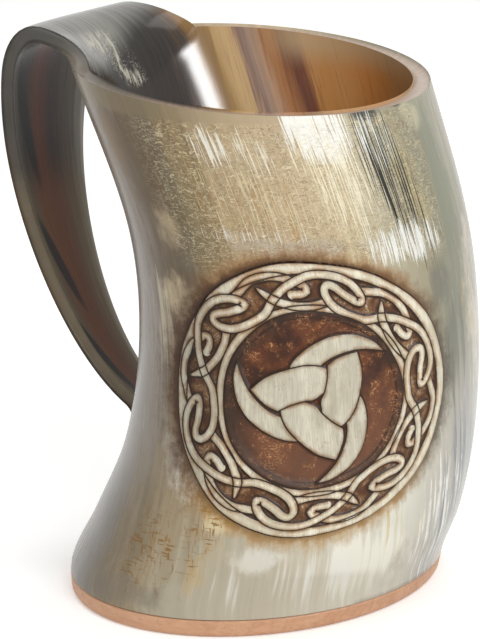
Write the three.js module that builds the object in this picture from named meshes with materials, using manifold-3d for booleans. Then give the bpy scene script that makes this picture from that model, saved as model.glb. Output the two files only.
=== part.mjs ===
// Horn beer mug: a tankard cut from one cattle horn and stood on a wooden base.
// Millimetres, +Z up. The origin is the centre of the base's bottom face, and the handle points to -X.
//
// The wall and the handle are one piece of horn. A tongue of the wall is bent out over the rim and
// down, and tapers to a foot that lies on the wall, where two pegs hold it. The base's spigot closes
// the bore from below, and a poured seal lies on the spigot. A round medallion is carved in the wall:
// a ring with a looping strand round a sunk disc with three interlocked horns.

import * as THREE from 'three';
import { mergeVertices } from 'three/addons/utils/BufferGeometryUtils.js';
import Module from 'manifold-3d';

// Horn wall
const RIM_HEIGHT = 144;
const RIM_TILT = 4; // the rim stands this much higher at the handle and lower at the belly
const WALL = 4.8;
const EDGE_ROUND = 1.7; // bulge of the polished rim and strap edges
const FOOT_HALF_DEPTH = 58.5; // along y, where the horn meets its base
const WAIST_HALF_DEPTH = 49.5;
const RIM_HALF_DEPTH = 50.5;
const DEPTH_TAPER = WAIST_HALF_DEPTH - FOOT_HALF_DEPTH; // change of half depth from the foot up to the waist

// Lines of the wall's outer face: height, x at the handle's side, x at the belly, half depth along y
const WALL_LINES = [
  [0, -48, 47, FOOT_HALF_DEPTH],
  [8, -48, 49, FOOT_HALF_DEPTH],
  [22, -40.5, 55, FOOT_HALF_DEPTH + DEPTH_TAPER * (1 / 6)],
  [45, -30.5, 60, FOOT_HALF_DEPTH + DEPTH_TAPER * (5 / 9)],
  [75, -27, 61.5, FOOT_HALF_DEPTH + DEPTH_TAPER * (8 / 9)],
  [105, -31.5, 57.5, WAIST_HALF_DEPTH],
  [RIM_HEIGHT, -49.5, 44, RIM_HALF_DEPTH],
];

// Strap handle
const STRAP_THICK = 4.6;
const STRAP_REACH = 77.5; // from the origin to the strap's outermost face
const CREST_REACH = 61; // from the origin to the top of the bend
const CREST_RISE = 8.5; // top of the bend above the rim
const ARCH_DROP = 28; // from the top of the bend down to the outermost point
const ROOT_DROP = 15; // the tongue starts to bend this far below the rim
const ROOT_NEAR = THREE.MathUtils.degToRad(50); // how far round the rim the tongue opens on -y
const ROOT_FAR = THREE.MathUtils.degToRad(32); // and on +y
const CREST_HALF_WIDTH = 22.5;
const GRIP_HALF_WIDTH = 15.5;
const FOOT_HALF_WIDTH = 5.8;
const TIP_HALF_WIDTH = 3.2;
const TIP_LENGTH = 3; // the foot's end narrows to the tip over this height
const FOOT_END = 15; // height of the foot's tip above the table
const FOOT_TOP = 29; // the foot lies on the wall from here down
const BEND_TOP = 47; // the strap turns in towards the foot from here down
const BEND_STANDOFF = 10; // from the wall, at that height
const BEND_SLOPE = 0.65; // fall of the strap there, for each unit towards the wall

// Handles of the strap's curves, from each end point along its tangent
const ROOT_PULL = 7;
const CREST_PULL = 8;
const OUTER_PULL = 17;
const GRIP_PULL = 27;
const BEND_PULL = 22;
const FOOT_PULL = 7;

// Base, seal and pegs
const BASE_THICK = 5;
const BASE_EDGE_ROUND = 1.8;
const SPIGOT_HEIGHT = 9;
const SEAL_THICK = 3;
const PEG_RADIUS = 1.8;
const PEG_HEAD_RADIUS = 3;
const PEG_HEAD_HEIGHT = 1.6;
const PEG_DEPTH = 2.6; // length of the shank inside the wall
const PEG_COUNT = 2;
const PEG_FROM_TIP = 3.8;
const PEG_SPACING = 7;

const FIT_GAP = 0.3; // glue line between pieces that touch

// Carved medallion. Its ovals lie on the wall, right of and up from its centre, and are a little turned.
const MEDALLION_ANGLE = THREE.MathUtils.degToRad(-132.16);
const MEDALLION_HEIGHT = 66.45;
const RING_OVAL = { right: -1.2, up: 0.2, turn: THREE.MathUtils.degToRad(-21), long: 1.063, short: 0.94 };
const BAND_OVAL = { right: 0.1, up: 0, turn: THREE.MathUtils.degToRad(-20), long: 1.055, short: 0.947 };
const DISC_OVAL = { right: -0.7, up: 0.4, turn: THREE.MathUtils.degToRad(-28), long: 1.045, short: 0.957 };
const BAND_INNER = 37.4; // radius of the ring's sunk ground at the outer band
const HUB_OUTER = 25.5; // and at the ridge round the disc
const RING_SINK = 0.9;
const DISC_RADIUS = 24.8;
const DISC_SINK = 1.35;
const DISC_EDGE_SINK = 0.35;
const DISC_SLOPE = 3.5; // width of the disc's sloping edge
const STRAND_HALF_WIDTH = 1.15;
const CARVE_CLEAR = 2; // the cutters stand out of the wall by this much

// Where the interlace repeats, in degrees from the right, and its long strand: each point is a share of
// the way from the hub to the band and a share of the repeat.
const RING_REPEATS = [107, 50.5, -9.3, -68, -127.2, -191.4];
const STRAND = [
  [0.38, 0], [0.65, 0.17], [0.85, 0.32], [0.92, 0.47], [0.85, 0.62], [0.66, 0.73], [0.48, 0.765],
  [0.45, 0.7], [0.57, 0.575], [0.67, 0.48], [0.57, 0.447], [0.4, 0.463], [0.16, 0.57], [0.08, 0.72],
  [0.16, 0.9],
];

// The three horns of the disc: where their tips point, in degrees, and their outlines, each point a
// share of the disc's radius and an angle from the tip.
const HORN_TIPS = [34, 154, 274];
const HORN_TAIL = [
  [0.42, 105], [0.5, 88], [0.585, 70], [0.67, 55], [0.775, 40], [0.86, 26], [0.915, 12], [0.935, 0],
  [0.83, 8], [0.755, 15], [0.685, 21], [0.59, 30], [0.49, 40], [0.4, 50], [0.32, 60],
];
const HORN_MOUTH = [
  [0.715, -103], [0.605, -119], [0.515, -134], [0.45, -153], [0.425, -172], [0.4, 168], [0.385, 150],
  [0.2, 140], [0.08, 150], [0.05, -120], [0.135, -98], [0.28, -86], [0.425, -79], [0.525, -87],
  [0.615, -95.5],
];

// Heights of the faces that meet inside the bore
const HORN_BOTTOM = BASE_THICK + FIT_GAP;
const SPIGOT_TOP = BASE_THICK + SPIGOT_HEIGHT;
const SEAL_BOTTOM = SPIGOT_TOP + FIT_GAP;
const SEAL_TOP = SEAL_BOTTOM + SEAL_THICK;

// Mesh steps
const BELLY_STEPS = 36;
const ROOT_STEPS = 6; // on each side of the tongue's middle
const WALL_STEPS = 13;
const STRAP_STEPS = [12, 10, 12, 8, 6]; // for each curve of the strap's middle line
const EDGE_STEPS = 4;
const ROUND_STEPS = 4;
const PEG_SIDES = 16;
const RING_SIDES = 36;
const CARVE_STEPS = 8; // for lengths measured on the wall
const CARVE_TRIES = 14; // for finding a place on the wall by its lengths
const WELD = 1e-4; // corners this close are one corner

const wasm = await Module();
wasm.setup();

// A smooth line through stations [place, value], as a function of the place.
function smoothLine(stations) {
  const last = stations.length - 1;
  const slope = (i) => {
    const before = stations[Math.max(i - 1, 0)];
    const after = stations[Math.min(i + 1, last)];
    return (after[1] - before[1]) / (after[0] - before[0]);
  };
  return (place) => {
    let i = 0;
    while (i < last - 1 && place > stations[i + 1][0]) i += 1;
    const [start, from] = stations[i];
    const [end, to] = stations[i + 1];
    const span = end - start;
    const t = (place - start) / span;
    const bendIn = slope(i) * span - (to - from);
    const bendOut = to - from - slope(i + 1) * span;
    return from + t * (to - from) + t * (1 - t) * ((1 - t) * bendIn + t * bendOut);
  };
}

const backLine = smoothLine(WALL_LINES.map(([z, back]) => [z, back]));
const bellyLine = smoothLine(WALL_LINES.map(([z, , belly]) => [z, belly]));
const depthLine = smoothLine(WALL_LINES.map(([z, , , depth]) => [z, depth]));

// A point of the wall's oval at a height, set in from the outer face. Angle 0 is at the handle.
function wallPoint(angle, z, inset = 0) {
  const half = (bellyLine(z) - backLine(z)) / 2;
  const middle = (bellyLine(z) + backLine(z)) / 2;
  const depth = depthLine(z);
  const out = new THREE.Vector2(-Math.cos(angle) * depth, Math.sin(angle) * half).normalize();
  const x = middle - half * Math.cos(angle) - inset * out.x;
  const y = depth * Math.sin(angle) - inset * out.y;
  return new THREE.Vector3(x, y, z);
}

// Unit direction up the middle of the handle's side of the wall, in the handle's plane (x, z).
function wallDirection(z) {
  const step = FIT_GAP;
  return new THREE.Vector2(backLine(z + step) - backLine(z - step), 2 * step).normalize();
}

function rimHeight(angle) {
  return RIM_HEIGHT + RIM_TILT * Math.cos(angle);
}

// Where the wall ends: the rim, and a dip below it where the tongue bends out.
function wallTop(angle) {
  const reach = angle < 0 ? ROOT_NEAR : ROOT_FAR;
  if (Math.abs(angle) >= reach) return rimHeight(angle);
  const dip = Math.cos((Math.PI / 2) * (angle / reach));
  return rimHeight(angle) - ROOT_DROP * dip;
}

// A curve in the handle's plane that leaves a point along one direction and arrives along another.
function bendCurve(start, leave, pullStart, end, arrive, pullEnd) {
  const handleStart = start.clone().addScaledVector(leave, pullStart);
  const handleEnd = end.clone().addScaledVector(arrive, -pullEnd);
  return new THREE.CubicBezierCurve(start, handleStart, handleEnd, end);
}

// Middle line of the strap's gap-side face, in the handle's plane (x, z), from the root to the tip.
function strapLine() {
  const outward = new THREE.Vector2(-1, 0);
  const down = new THREE.Vector2(0, -1);
  const onWall = (z, gap) => new THREE.Vector2(backLine(z) - gap, z);
  const rootZ = wallTop(0);
  const root = onWall(rootZ, 0);
  const crest = new THREE.Vector2(-CREST_REACH, RIM_HEIGHT + CREST_RISE - STRAP_THICK);
  const outermost = new THREE.Vector2(STRAP_THICK - STRAP_REACH, crest.y - ARCH_DROP);
  const bend = onWall(BEND_TOP, BEND_STANDOFF);
  const bendWay = new THREE.Vector2(1, -BEND_SLOPE).normalize();
  const footTop = onWall(FOOT_TOP, FIT_GAP);
  const footWay = wallDirection(FOOT_TOP).negate();
  const foot = [];
  for (let i = 1; i <= ROUND_STEPS; i += 1) {
    foot.push(onWall(THREE.MathUtils.lerp(FOOT_TOP, FOOT_END, i / ROUND_STEPS), FIT_GAP));
  }
  const line = new THREE.CurvePath();
  line.add(bendCurve(root, wallDirection(rootZ), ROOT_PULL, crest, outward, CREST_PULL));
  line.add(bendCurve(crest, outward, CREST_PULL, outermost, down, OUTER_PULL));
  line.add(bendCurve(outermost, down, GRIP_PULL, bend, bendWay, BEND_PULL));
  line.add(bendCurve(bend, bendWay, FOOT_PULL, footTop, footWay, FOOT_PULL));
  line.add(new THREE.SplineCurve([footTop, ...foot]));
  return line;
}

// Falls smoothly from 1 at the root to 0 at the end of a run along the strap.
function fade(along, run) {
  const t = Math.min(along / run, 1);
  return (1 - t) ** 2 * (1 + t);
}

// The strap as functions of the length along it and the angle round its root: a point of the gap-side
// face, the direction across to the other face, which is level at the root as in the wall, and the
// thickness.
function strapFace() {
  const line = strapLine();
  const ends = line.getCurveLengths();
  const [crestAt, outermostAt, bendAt, footAt, tipAt] = ends;
  const root = wallPoint(0, wallTop(0));
  const lagRun = (crestAt + outermostAt) / 2;
  const reachLine = (angle) => smoothLine([
    [0, Math.abs(wallPoint(angle, wallTop(angle)).y)],
    [crestAt, CREST_HALF_WIDTH],
    [outermostAt, GRIP_HALF_WIDTH],
    [bendAt, FOOT_HALF_WIDTH],
    [footAt, FOOT_HALF_WIDTH],
    [tipAt - TIP_LENGTH, FOOT_HALF_WIDTH],
    [tipAt, TIP_HALF_WIDTH],
  ]);
  const nearReach = reachLine(-ROOT_NEAR);
  const farReach = reachLine(ROOT_FAR);
  const point = (along, angle) => {
    const middle = line.getPoint(along / tipAt);
    const edge = wallPoint(angle, wallTop(angle));
    const reach = angle < 0 ? nearReach : farReach;
    return new THREE.Vector3(
      middle.x + (edge.x - root.x) * fade(along, lagRun),
      edge.y * (reach(along) / reach(0)),
      middle.y + (edge.z - root.z) * fade(along, crestAt),
    );
  };
  const across = (along, angle) => {
    const level = wallPoint(angle, RIM_HEIGHT, 1).sub(wallPoint(angle, RIM_HEIGHT));
    const way = line.getTangent(along / tipAt);
    return new THREE.Vector3(way.y, 0, -way.x).lerp(level, fade(along, crestAt)).normalize();
  };
  const stops = STRAP_STEPS.flatMap((steps, i) => {
    const start = i > 0 ? ends[i - 1] : 0;
    return Array.from({ length: steps }, (_, j) => THREE.MathUtils.lerp(start, ends[i], (j + 1) / steps));
  });
  const thick = (along) => THREE.MathUtils.lerp(STRAP_THICK, WALL, fade(along, crestAt));
  return { point, across, thick, stops };
}

// Angles round the wall: across the tongue's root first, then on round the belly.
function wallAngles() {
  const angles = [];
  for (let i = -ROOT_STEPS; i <= ROOT_STEPS; i += 1) {
    angles.push((i / ROOT_STEPS) * (i < 0 ? ROOT_NEAR : ROOT_FAR));
  }
  const open = 2 * Math.PI - ROOT_NEAR - ROOT_FAR;
  for (let i = 1; i < BELLY_STEPS; i += 1) angles.push(ROOT_FAR + (open * i) / BELLY_STEPS);
  return angles;
}

// The horn: outer and inner faces on one grid of points, closed by a rounded edge and a flat foot ring.
function hornGeometry() {
  const angles = wallAngles();
  const across = 2 * ROOT_STEPS + 1;
  const outer = [];
  const inner = [];
  const rows = [];
  const addWallRow = (heightAt) => rows.push(angles.map((angle) => {
    outer.push(wallPoint(angle, heightAt(angle)));
    inner.push(wallPoint(angle, heightAt(angle), WALL));
    return outer.length - 1;
  }));
  [HORN_BOTTOM, SPIGOT_TOP, SEAL_TOP].forEach((z) => addWallRow(() => z));
  for (let j = 1; j <= WALL_STEPS; j += 1) {
    addWallRow((angle) => THREE.MathUtils.lerp(SEAL_TOP, wallTop(angle), j / WALL_STEPS));
  }
  const rim = rows.length - 1;
  const face = strapFace();
  face.stops.forEach((along) => {
    rows.push(angles.slice(0, across).map((angle) => {
      const point = face.point(along, angle);
      outer.push(point);
      inner.push(point.clone().addScaledVector(face.across(along, angle), face.thick(along)));
      return outer.length - 1;
    }));
  });

  const count = outer.length;
  const points = [...outer, ...inner];
  const triangles = [];
  const quad = (a, b, c, d) => triangles.push(a, b, c, a, c, d);
  for (let j = 0; j + 1 < rows.length; j += 1) {
    const cells = j < rim ? angles.length : across - 1;
    for (let i = 0; i < cells; i += 1) {
      const next = (i + 1) % rows[j].length;
      const corners = [rows[j][i], rows[j + 1][i], rows[j + 1][next], rows[j][next]];
      quad(...corners);
      quad(...corners.map((corner) => corner + count).reverse());
    }
  }
  rows[0].forEach((corner, i) => {
    const next = rows[0][(i + 1) % angles.length];
    quad(corner, next, next + count, corner + count);
  });

  // The free edge: round the rim, down the near edge of the strap, across its tip and back up.
  const strapRows = rows.slice(rim + 1);
  const tip = strapRows[strapRows.length - 1];
  const loop = [
    ...rows[rim].slice(across - 1),
    rows[rim][0],
    ...strapRows.map((row) => row[0]),
    ...tip.slice(1, -1),
    ...strapRows.map((row) => row[across - 1]).reverse(),
  ];
  const middleOf = (corner) => points[corner].clone().add(points[corner + count]).multiplyScalar(0.5);
  const rings = loop.map((corner, i) => {
    const before = middleOf(loop[(i + loop.length - 1) % loop.length]);
    const after = middleOf(loop[(i + 1) % loop.length]);
    const half = points[corner].clone().sub(points[corner + count]).multiplyScalar(0.5);
    const out = half.clone().cross(after.sub(before)).normalize();
    const ring = [corner];
    for (let k = 1; k < EDGE_STEPS; k += 1) {
      const turn = (Math.PI * k) / EDGE_STEPS;
      const point = middleOf(corner).addScaledVector(half, Math.cos(turn));
      ring.push(points.length);
      points.push(point.addScaledVector(out, EDGE_ROUND * Math.sin(turn)));
    }
    return [...ring, corner + count];
  });
  rings.forEach((ring, i) => {
    const next = rings[(i + 1) % rings.length];
    for (let k = 0; k < EDGE_STEPS; k += 1) quad(ring[k], ring[k + 1], next[k + 1], next[k]);
  });
  return indexedGeometry(points.flatMap((point) => point.toArray()), triangles);
}

function indexedGeometry(positions, triangles) {
  const geometry = new THREE.BufferGeometry();
  geometry.setAttribute('position', new THREE.Float32BufferAttribute(positions, 3));
  geometry.setIndex(triangles);
  geometry.computeVertexNormals();
  return geometry;
}

// A solid of stacked ovals that follow the wall, each [height, inset from the wall's outer face].
function ovalStack(levels) {
  const angles = wallAngles();
  const count = angles.length;
  const points = levels.flatMap(([z, inset]) => angles.map((angle) => wallPoint(angle, z, inset)));
  const triangles = [];
  const at = (level, i) => level * count + (i % count);
  for (let level = 0; level + 1 < levels.length; level += 1) {
    for (let i = 0; i < count; i += 1) {
      triangles.push(at(level, i), at(level + 1, i), at(level + 1, i + 1));
      triangles.push(at(level, i), at(level + 1, i + 1), at(level, i + 1));
    }
  }
  const top = levels.length - 1;
  for (let i = 1; i + 1 < count; i += 1) {
    triangles.push(at(0, 0), at(0, i), at(0, i + 1));
    triangles.push(at(top, 0), at(top, i + 1), at(top, i));
  }
  return indexedGeometry(points.flatMap((point) => point.toArray()), triangles);
}

function baseGeometry() {
  const levels = [];
  for (let i = 0; i <= ROUND_STEPS; i += 1) {
    const turn = (Math.PI / 2) * (i / ROUND_STEPS);
    levels.push([BASE_EDGE_ROUND * (1 - Math.cos(turn)), BASE_EDGE_ROUND * (1 - Math.sin(turn))]);
  }
  levels.push([BASE_THICK, 0]);
  levels.push([BASE_THICK, WALL + FIT_GAP]);
  levels.push([SPIGOT_TOP, WALL + FIT_GAP]);
  return ovalStack(levels);
}

function sealGeometry() {
  return ovalStack([[SEAL_BOTTOM, WALL + FIT_GAP], [SEAL_TOP, WALL + FIT_GAP]]);
}

// A peg along +Y with its shank's inner end at -PEG_DEPTH: a straight shank under a domed head.
function pegGeometry() {
  const seat = FIT_GAP + STRAP_THICK + FIT_GAP;
  const outline = [
    new THREE.Vector2(0, -PEG_DEPTH),
    new THREE.Vector2(PEG_RADIUS, -PEG_DEPTH),
    new THREE.Vector2(PEG_RADIUS, seat),
  ];
  for (let i = 0; i <= ROUND_STEPS; i += 1) {
    const turn = (Math.PI / 2) * (i / ROUND_STEPS);
    const radius = i < ROUND_STEPS ? PEG_HEAD_RADIUS * Math.cos(turn) : 0;
    outline.push(new THREE.Vector2(radius, seat + PEG_HEAD_HEIGHT * Math.sin(turn)));
  }
  return new THREE.LatheGeometry(outline, PEG_SIDES);
}

// The hole that a peg goes in: through the strap's foot and blind in the wall.
function pegHoleGeometry() {
  const bottom = -PEG_DEPTH - FIT_GAP;
  const top = FIT_GAP + STRAP_THICK + PEG_HEAD_RADIUS; // well past the strap's outer face
  const radius = PEG_RADIUS + FIT_GAP;
  const hole = new THREE.CylinderGeometry(radius, radius, top - bottom, PEG_SIDES);
  return hole.translate(0, (top + bottom) / 2, 0);
}

// Puts an object at a peg's place on the wall, with its +Y pointing straight out of the wall.
function placeAtPeg(object, index) {
  const z = FOOT_END + PEG_FROM_TIP + index * PEG_SPACING;
  const up = wallDirection(z);
  const out = new THREE.Vector3(-up.y, 0, up.x);
  object.position.set(backLine(z), 0, z);
  object.quaternion.setFromUnitVectors(new THREE.Vector3(0, 1, 0), out);
  object.updateMatrix();
  return object;
}

function toSolid(geometry) {
  const plain = geometry.clone();
  plain.deleteAttribute('normal');
  plain.deleteAttribute('uv');
  const merged = mergeVertices(plain, WELD);
  return new wasm.Manifold(new wasm.Mesh({
    numProp: 3,
    vertProperties: Float32Array.from(merged.attributes.position.array),
    triVerts: Uint32Array.from(merged.index.array),
  }));
}

// The horn with its peg holes drilled and its medallion carved.
function workedHorn() {
  let horn = toSolid(hornGeometry());
  for (let i = 0; i < PEG_COUNT; i += 1) {
    const place = placeAtPeg(new THREE.Object3D(), i).matrix;
    horn = horn.subtract(toSolid(pegHoleGeometry().applyMatrix4(place)));
  }
  medallionCutters().forEach((cutter) => {
    horn = horn.subtract(cutter);
  });
  const byVolume = horn.decompose().sort((a, b) => b.volume() - a.volume());
  const mesh = byVolume[0].getMesh(); // the rest are chips
  return indexedGeometry(Array.from(mesh.vertProperties), Array.from(mesh.triVerts));
}

// Lengths on the wall's outer face from the medallion's centre: to the right along the oval, and up.
function medallionOffset(angle, z) {
  let right = 0;
  let up = 0;
  for (let i = 0; i < CARVE_STEPS; i += 1) {
    const [from, to] = [i / CARVE_STEPS, (i + 1) / CARVE_STEPS];
    const turn = (share) => THREE.MathUtils.lerp(MEDALLION_ANGLE, angle, share);
    const height = (share) => THREE.MathUtils.lerp(MEDALLION_HEIGHT, z, share);
    right += wallPoint(turn(from), z).distanceTo(wallPoint(turn(to), z));
    up += wallPoint(angle, height(from)).distanceTo(wallPoint(angle, height(to)));
  }
  return [Math.sign(MEDALLION_ANGLE - angle) * right, Math.sign(z - MEDALLION_HEIGHT) * up];
}

// The point at lengths right of and up from the medallion's centre, lifted off the wall's outer face.
function medallionPoint(place, lift) {
  let angle = MEDALLION_ANGLE;
  let z = MEDALLION_HEIGHT;
  for (let i = 0; i < CARVE_TRIES; i += 1) {
    const [right, up] = medallionOffset(angle, z);
    angle -= (place.x - right) / depthLine(z);
    z += place.y - up;
  }
  const step = FIT_GAP;
  const upWay = wallPoint(angle, z + step).sub(wallPoint(angle, z - step));
  const turn = step / depthLine(z);
  const roundWay = wallPoint(angle + turn, z).sub(wallPoint(angle - turn, z));
  return wallPoint(angle, z).addScaledVector(upWay.cross(roundWay).normalize(), lift);
}

// A place on one of the medallion's ovals, by its radius and its angle from the right.
function onOval(oval, radius, angle) {
  const x = radius * oval.long * Math.cos(angle - oval.turn);
  const y = radius * oval.short * Math.sin(angle - oval.turn);
  return new THREE.Vector2(x, y)
    .rotateAround(new THREE.Vector2(), oval.turn)
    .add(new THREE.Vector2(oval.right, oval.up));
}

function ovalLoop(oval, radius) {
  return Array.from({ length: RING_SIDES }, (_, i) => onOval(oval, radius, (2 * Math.PI * i) / RING_SIDES));
}

// A cutter whose floor follows the wall: loops of places from the inside out, each with its sink. A
// single place in the first loop closes the middle, and a full loop leaves it open.
function sunkCutter(loops, sinks) {
  const points = [];
  const add = (loop, lift) => loop.map((place) => points.push(medallionPoint(place, lift)) - 1);
  const floors = loops.map((loop, i) => add(loop, -sinks[i]));
  const roofs = loops.map((loop) => add(loop, CARVE_CLEAR));
  const triangles = [];
  const strip = (inner, outer) => {
    for (let i = 0; i < outer.length; i += 1) {
      const next = (i + 1) % outer.length;
      if (inner.length === 1) {
        triangles.push(inner[0], outer[i], outer[next]);
      } else {
        triangles.push(inner[i], outer[i], outer[next], inner[i], outer[next], inner[next]);
      }
    }
  };
  for (let i = 0; i + 1 < loops.length; i += 1) {
    strip(roofs[i], roofs[i + 1]);
    strip([...floors[i]].reverse(), [...floors[i + 1]].reverse());
  }
  const last = loops.length - 1;
  strip(roofs[last], floors[last]);
  if (loops[0].length > 1) strip(floors[0], roofs[0]);
  return toSolid(indexedGeometry(points.flatMap((point) => point.toArray()), triangles));
}

// A post that stands through a cutter, square to the wall, on an outline that may have a hole.
function standingPost(outline, hole = []) {
  const outer = THREE.ShapeUtils.isClockWise(outline) ? [...outline].reverse() : outline;
  const inner = hole.length > 0 && !THREE.ShapeUtils.isClockWise(hole) ? [...hole].reverse() : hole;
  const places = [...outer, ...inner];
  const count = places.length;
  const points = [
    ...places.map((place) => medallionPoint(place, -2 * DISC_SINK)),
    ...places.map((place) => medallionPoint(place, 2 * CARVE_CLEAR)),
  ];
  const triangles = [];
  THREE.ShapeUtils.triangulateShape(outer, inner.length > 0 ? [inner] : []).forEach(([a, b, c]) => {
    triangles.push(a, c, b, a + count, b + count, c + count);
  });
  const addWalls = (start, length) => {
    for (let i = 0; i < length; i += 1) {
      const [a, b] = [start + i, start + ((i + 1) % length)];
      triangles.push(a, b, b + count, a, b + count, a + count);
    }
  };
  addWalls(0, outer.length);
  if (inner.length > 0) addWalls(outer.length, inner.length);
  return toSolid(indexedGeometry(points.flatMap((point) => point.toArray()), triangles));
}

// A place in the ring, by its share of the way from the hub to the band and its count of repeats.
function ringPlace([share, repeats]) {
  const repeatAngle = (i) => {
    const turns = Math.floor(i / RING_REPEATS.length);
    return RING_REPEATS[i - turns * RING_REPEATS.length] - 360 * turns;
  };
  const whole = Math.floor(repeats);
  const angle = THREE.MathUtils.lerp(repeatAngle(whole), repeatAngle(whole + 1), repeats - whole);
  const radius = THREE.MathUtils.lerp(HUB_OUTER, BAND_INNER, share);
  return onOval(RING_OVAL, radius, THREE.MathUtils.degToRad(angle));
}

// The strand that runs right round the ring, between its two sides.
function strandPost() {
  const line = RING_REPEATS.flatMap((_, i) => STRAND.map(([share, at]) => ringPlace([share, at + i])));
  const at = (i) => line[(i + line.length) % line.length];
  const side = (offset) => line.map((place, i) => {
    const way = at(i + 1).clone().sub(at(i - 1)).normalize();
    return place.clone().addScaledVector(new THREE.Vector2(-way.y, way.x), offset);
  });
  return standingPost(side(STRAND_HALF_WIDTH), side(-STRAND_HALF_WIDTH));
}

function discPosts() {
  const place = (share, angle) => onOval(DISC_OVAL, share * DISC_RADIUS, THREE.MathUtils.degToRad(angle));
  return HORN_TIPS.flatMap((tip) => [HORN_TAIL, HORN_MOUTH].map((outline) => (
    standingPost(outline.map(([share, angle]) => place(share, angle + tip)))
  )));
}

// The medallion's cutters: the ring's ground without its strand, and the disc without its horns.
function medallionCutters() {
  const ringLoops = [ovalLoop(DISC_OVAL, HUB_OUTER), ovalLoop(BAND_OVAL, BAND_INNER)];
  const ring = sunkCutter(ringLoops, [RING_SINK, RING_SINK]);
  const flat = DISC_RADIUS - DISC_SLOPE;
  const discLoops = [flat / 2, flat, DISC_RADIUS].map((radius) => ovalLoop(DISC_OVAL, radius));
  discLoops.unshift([new THREE.Vector2(DISC_OVAL.right, DISC_OVAL.up)]);
  const disc = sunkCutter(discLoops, [DISC_SINK, DISC_SINK, DISC_SINK, DISC_EDGE_SINK]);
  const discGround = discPosts().reduce((rest, post) => rest.subtract(post), disc);
  return [ring.subtract(strandPost()), discGround];
}

function named(name, geometry, material) {
  const mesh = new THREE.Mesh(geometry, material);
  mesh.name = name;
  return mesh;
}

const hornMaterial = new THREE.MeshStandardMaterial({ color: 0xb9ad97, roughness: 0.28, metalness: 0 });
const woodMaterial = new THREE.MeshStandardMaterial({ color: 0xa8764f, roughness: 0.55, metalness: 0 });
const sealMaterial = new THREE.MeshStandardMaterial({ color: 0x5a3a1e, roughness: 0.15, metalness: 0 });
const pegMaterial = new THREE.MeshStandardMaterial({ color: 0x3b2a1d, roughness: 0.45, metalness: 0 });

const mug = new THREE.Group();
mug.add(named('horn_body', workedHorn(), hornMaterial));
mug.add(named('base_disc', baseGeometry(), woodMaterial));
mug.add(named('base_seal', sealGeometry(), sealMaterial));
for (let i = 0; i < PEG_COUNT; i += 1) {
  mug.add(placeAtPeg(named(`foot_peg_${i + 1}`, pegGeometry(), pegMaterial), i));
}

export default mug;
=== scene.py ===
"""Horn beer mug: the carved and polished horn, its wooden base, seal and pegs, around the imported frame.

Metres, +Z up. The handle points to -X, and the carved medallion is on the -Y side of the wall.
"""

import logging
import math
from dataclasses import dataclass
from enum import Enum
from typing import Any

import bpy
import numpy as np
from mathutils import Matrix, Vector, kdtree


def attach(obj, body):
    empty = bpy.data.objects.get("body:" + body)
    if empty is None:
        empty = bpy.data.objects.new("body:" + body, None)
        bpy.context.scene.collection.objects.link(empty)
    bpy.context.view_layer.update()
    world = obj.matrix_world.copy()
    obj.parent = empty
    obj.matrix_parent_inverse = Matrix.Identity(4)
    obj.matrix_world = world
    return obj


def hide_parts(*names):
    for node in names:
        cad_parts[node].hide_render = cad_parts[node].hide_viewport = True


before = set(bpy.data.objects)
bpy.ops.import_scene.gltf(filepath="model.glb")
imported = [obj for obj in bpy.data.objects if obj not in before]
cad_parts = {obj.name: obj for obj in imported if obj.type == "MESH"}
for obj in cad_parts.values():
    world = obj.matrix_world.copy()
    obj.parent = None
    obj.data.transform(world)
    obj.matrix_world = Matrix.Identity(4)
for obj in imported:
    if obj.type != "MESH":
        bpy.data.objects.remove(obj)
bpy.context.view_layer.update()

MM = 0.001
BODY = "root"
WELD = 0.01 * MM
TINY = 1e-9
ABOVE_NOISE = 2.0
log = logging.getLogger("horn_mug")

Colour = str
Linear = tuple[float, float, float, float]
Stops = tuple[tuple[float, Colour], ...]
Ends = tuple[float, float]
Triple = tuple[float, float, float]
Row = tuple[float, ...]
Rows = tuple[Ends, ...]
Array = np.ndarray
Piece = bpy.types.Object


def tint(code: Colour) -> Linear:
    """Turns a display colour such as "c8b494" into the linear colour that a shader takes.

    Args:
        code: Six hexadecimal digits, red first.

    Returns:
        Linear red, green and blue, with alpha 1.
    """
    parts = [int(code[i:i + 2], 16) / 255 for i in (0, 2, 4)]
    linear = [c / 12.92 if c <= 0.04045 else ((c + 0.055) / 1.055) ** 2.4 for c in parts]
    return (linear[0], linear[1], linear[2], 1.0)


def smoothstep(value: Array, low: float, high: float) -> Array:
    """Rises smoothly from 0 at low to 1 at high."""
    t = np.clip((value - low) / (high - low), 0.0, 1.0)
    return t * t * (3.0 - 2.0 * t)


# Meshes


def begin_piece() -> None:
    """Goes to object mode and clears the selection, so that operators act on the new piece only."""
    if bpy.context.object and bpy.context.object.mode != "OBJECT":
        bpy.ops.object.mode_set(mode="OBJECT")
    bpy.ops.object.select_all(action="DESELECT")


def flat_sheet(name: str, columns: int, rows: int) -> Piece:
    """Lays a flat sheet of quads over the unit square, to be cut finer and rolled up later.

    Args:
        name: The sheet's name.
        columns: Quads along x.
        rows: Quads along y.

    Returns:
        The sheet, with its corners at (0, 0) and (1, 1).
    """
    begin_piece()
    bpy.ops.mesh.primitive_grid_add(
        x_subdivisions=columns, y_subdivisions=rows, size=1.0, location=(0.5, 0.5, 0.0)
    )
    sheet = bpy.context.object
    sheet.name = name
    bpy.ops.object.transform_apply(location=True, rotation=False, scale=False)
    return sheet


def vectors(items: Any, name: str) -> Array:
    """Reads a vector of each point or face of a mesh.

    Args:
        items: The mesh's vertices or polygons.
        name: The vector's name.

    Returns:
        The vectors, in rows x, y, z.
    """
    flat = np.empty(len(items) * 3, dtype=np.float32)
    items.foreach_get(name, flat)
    return flat.reshape(-1, 3).astype(float)


def points_of(piece: Piece) -> Array:
    """Reads a mesh's points as rows x, y, z."""
    return vectors(piece.data.vertices, "co")


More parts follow.
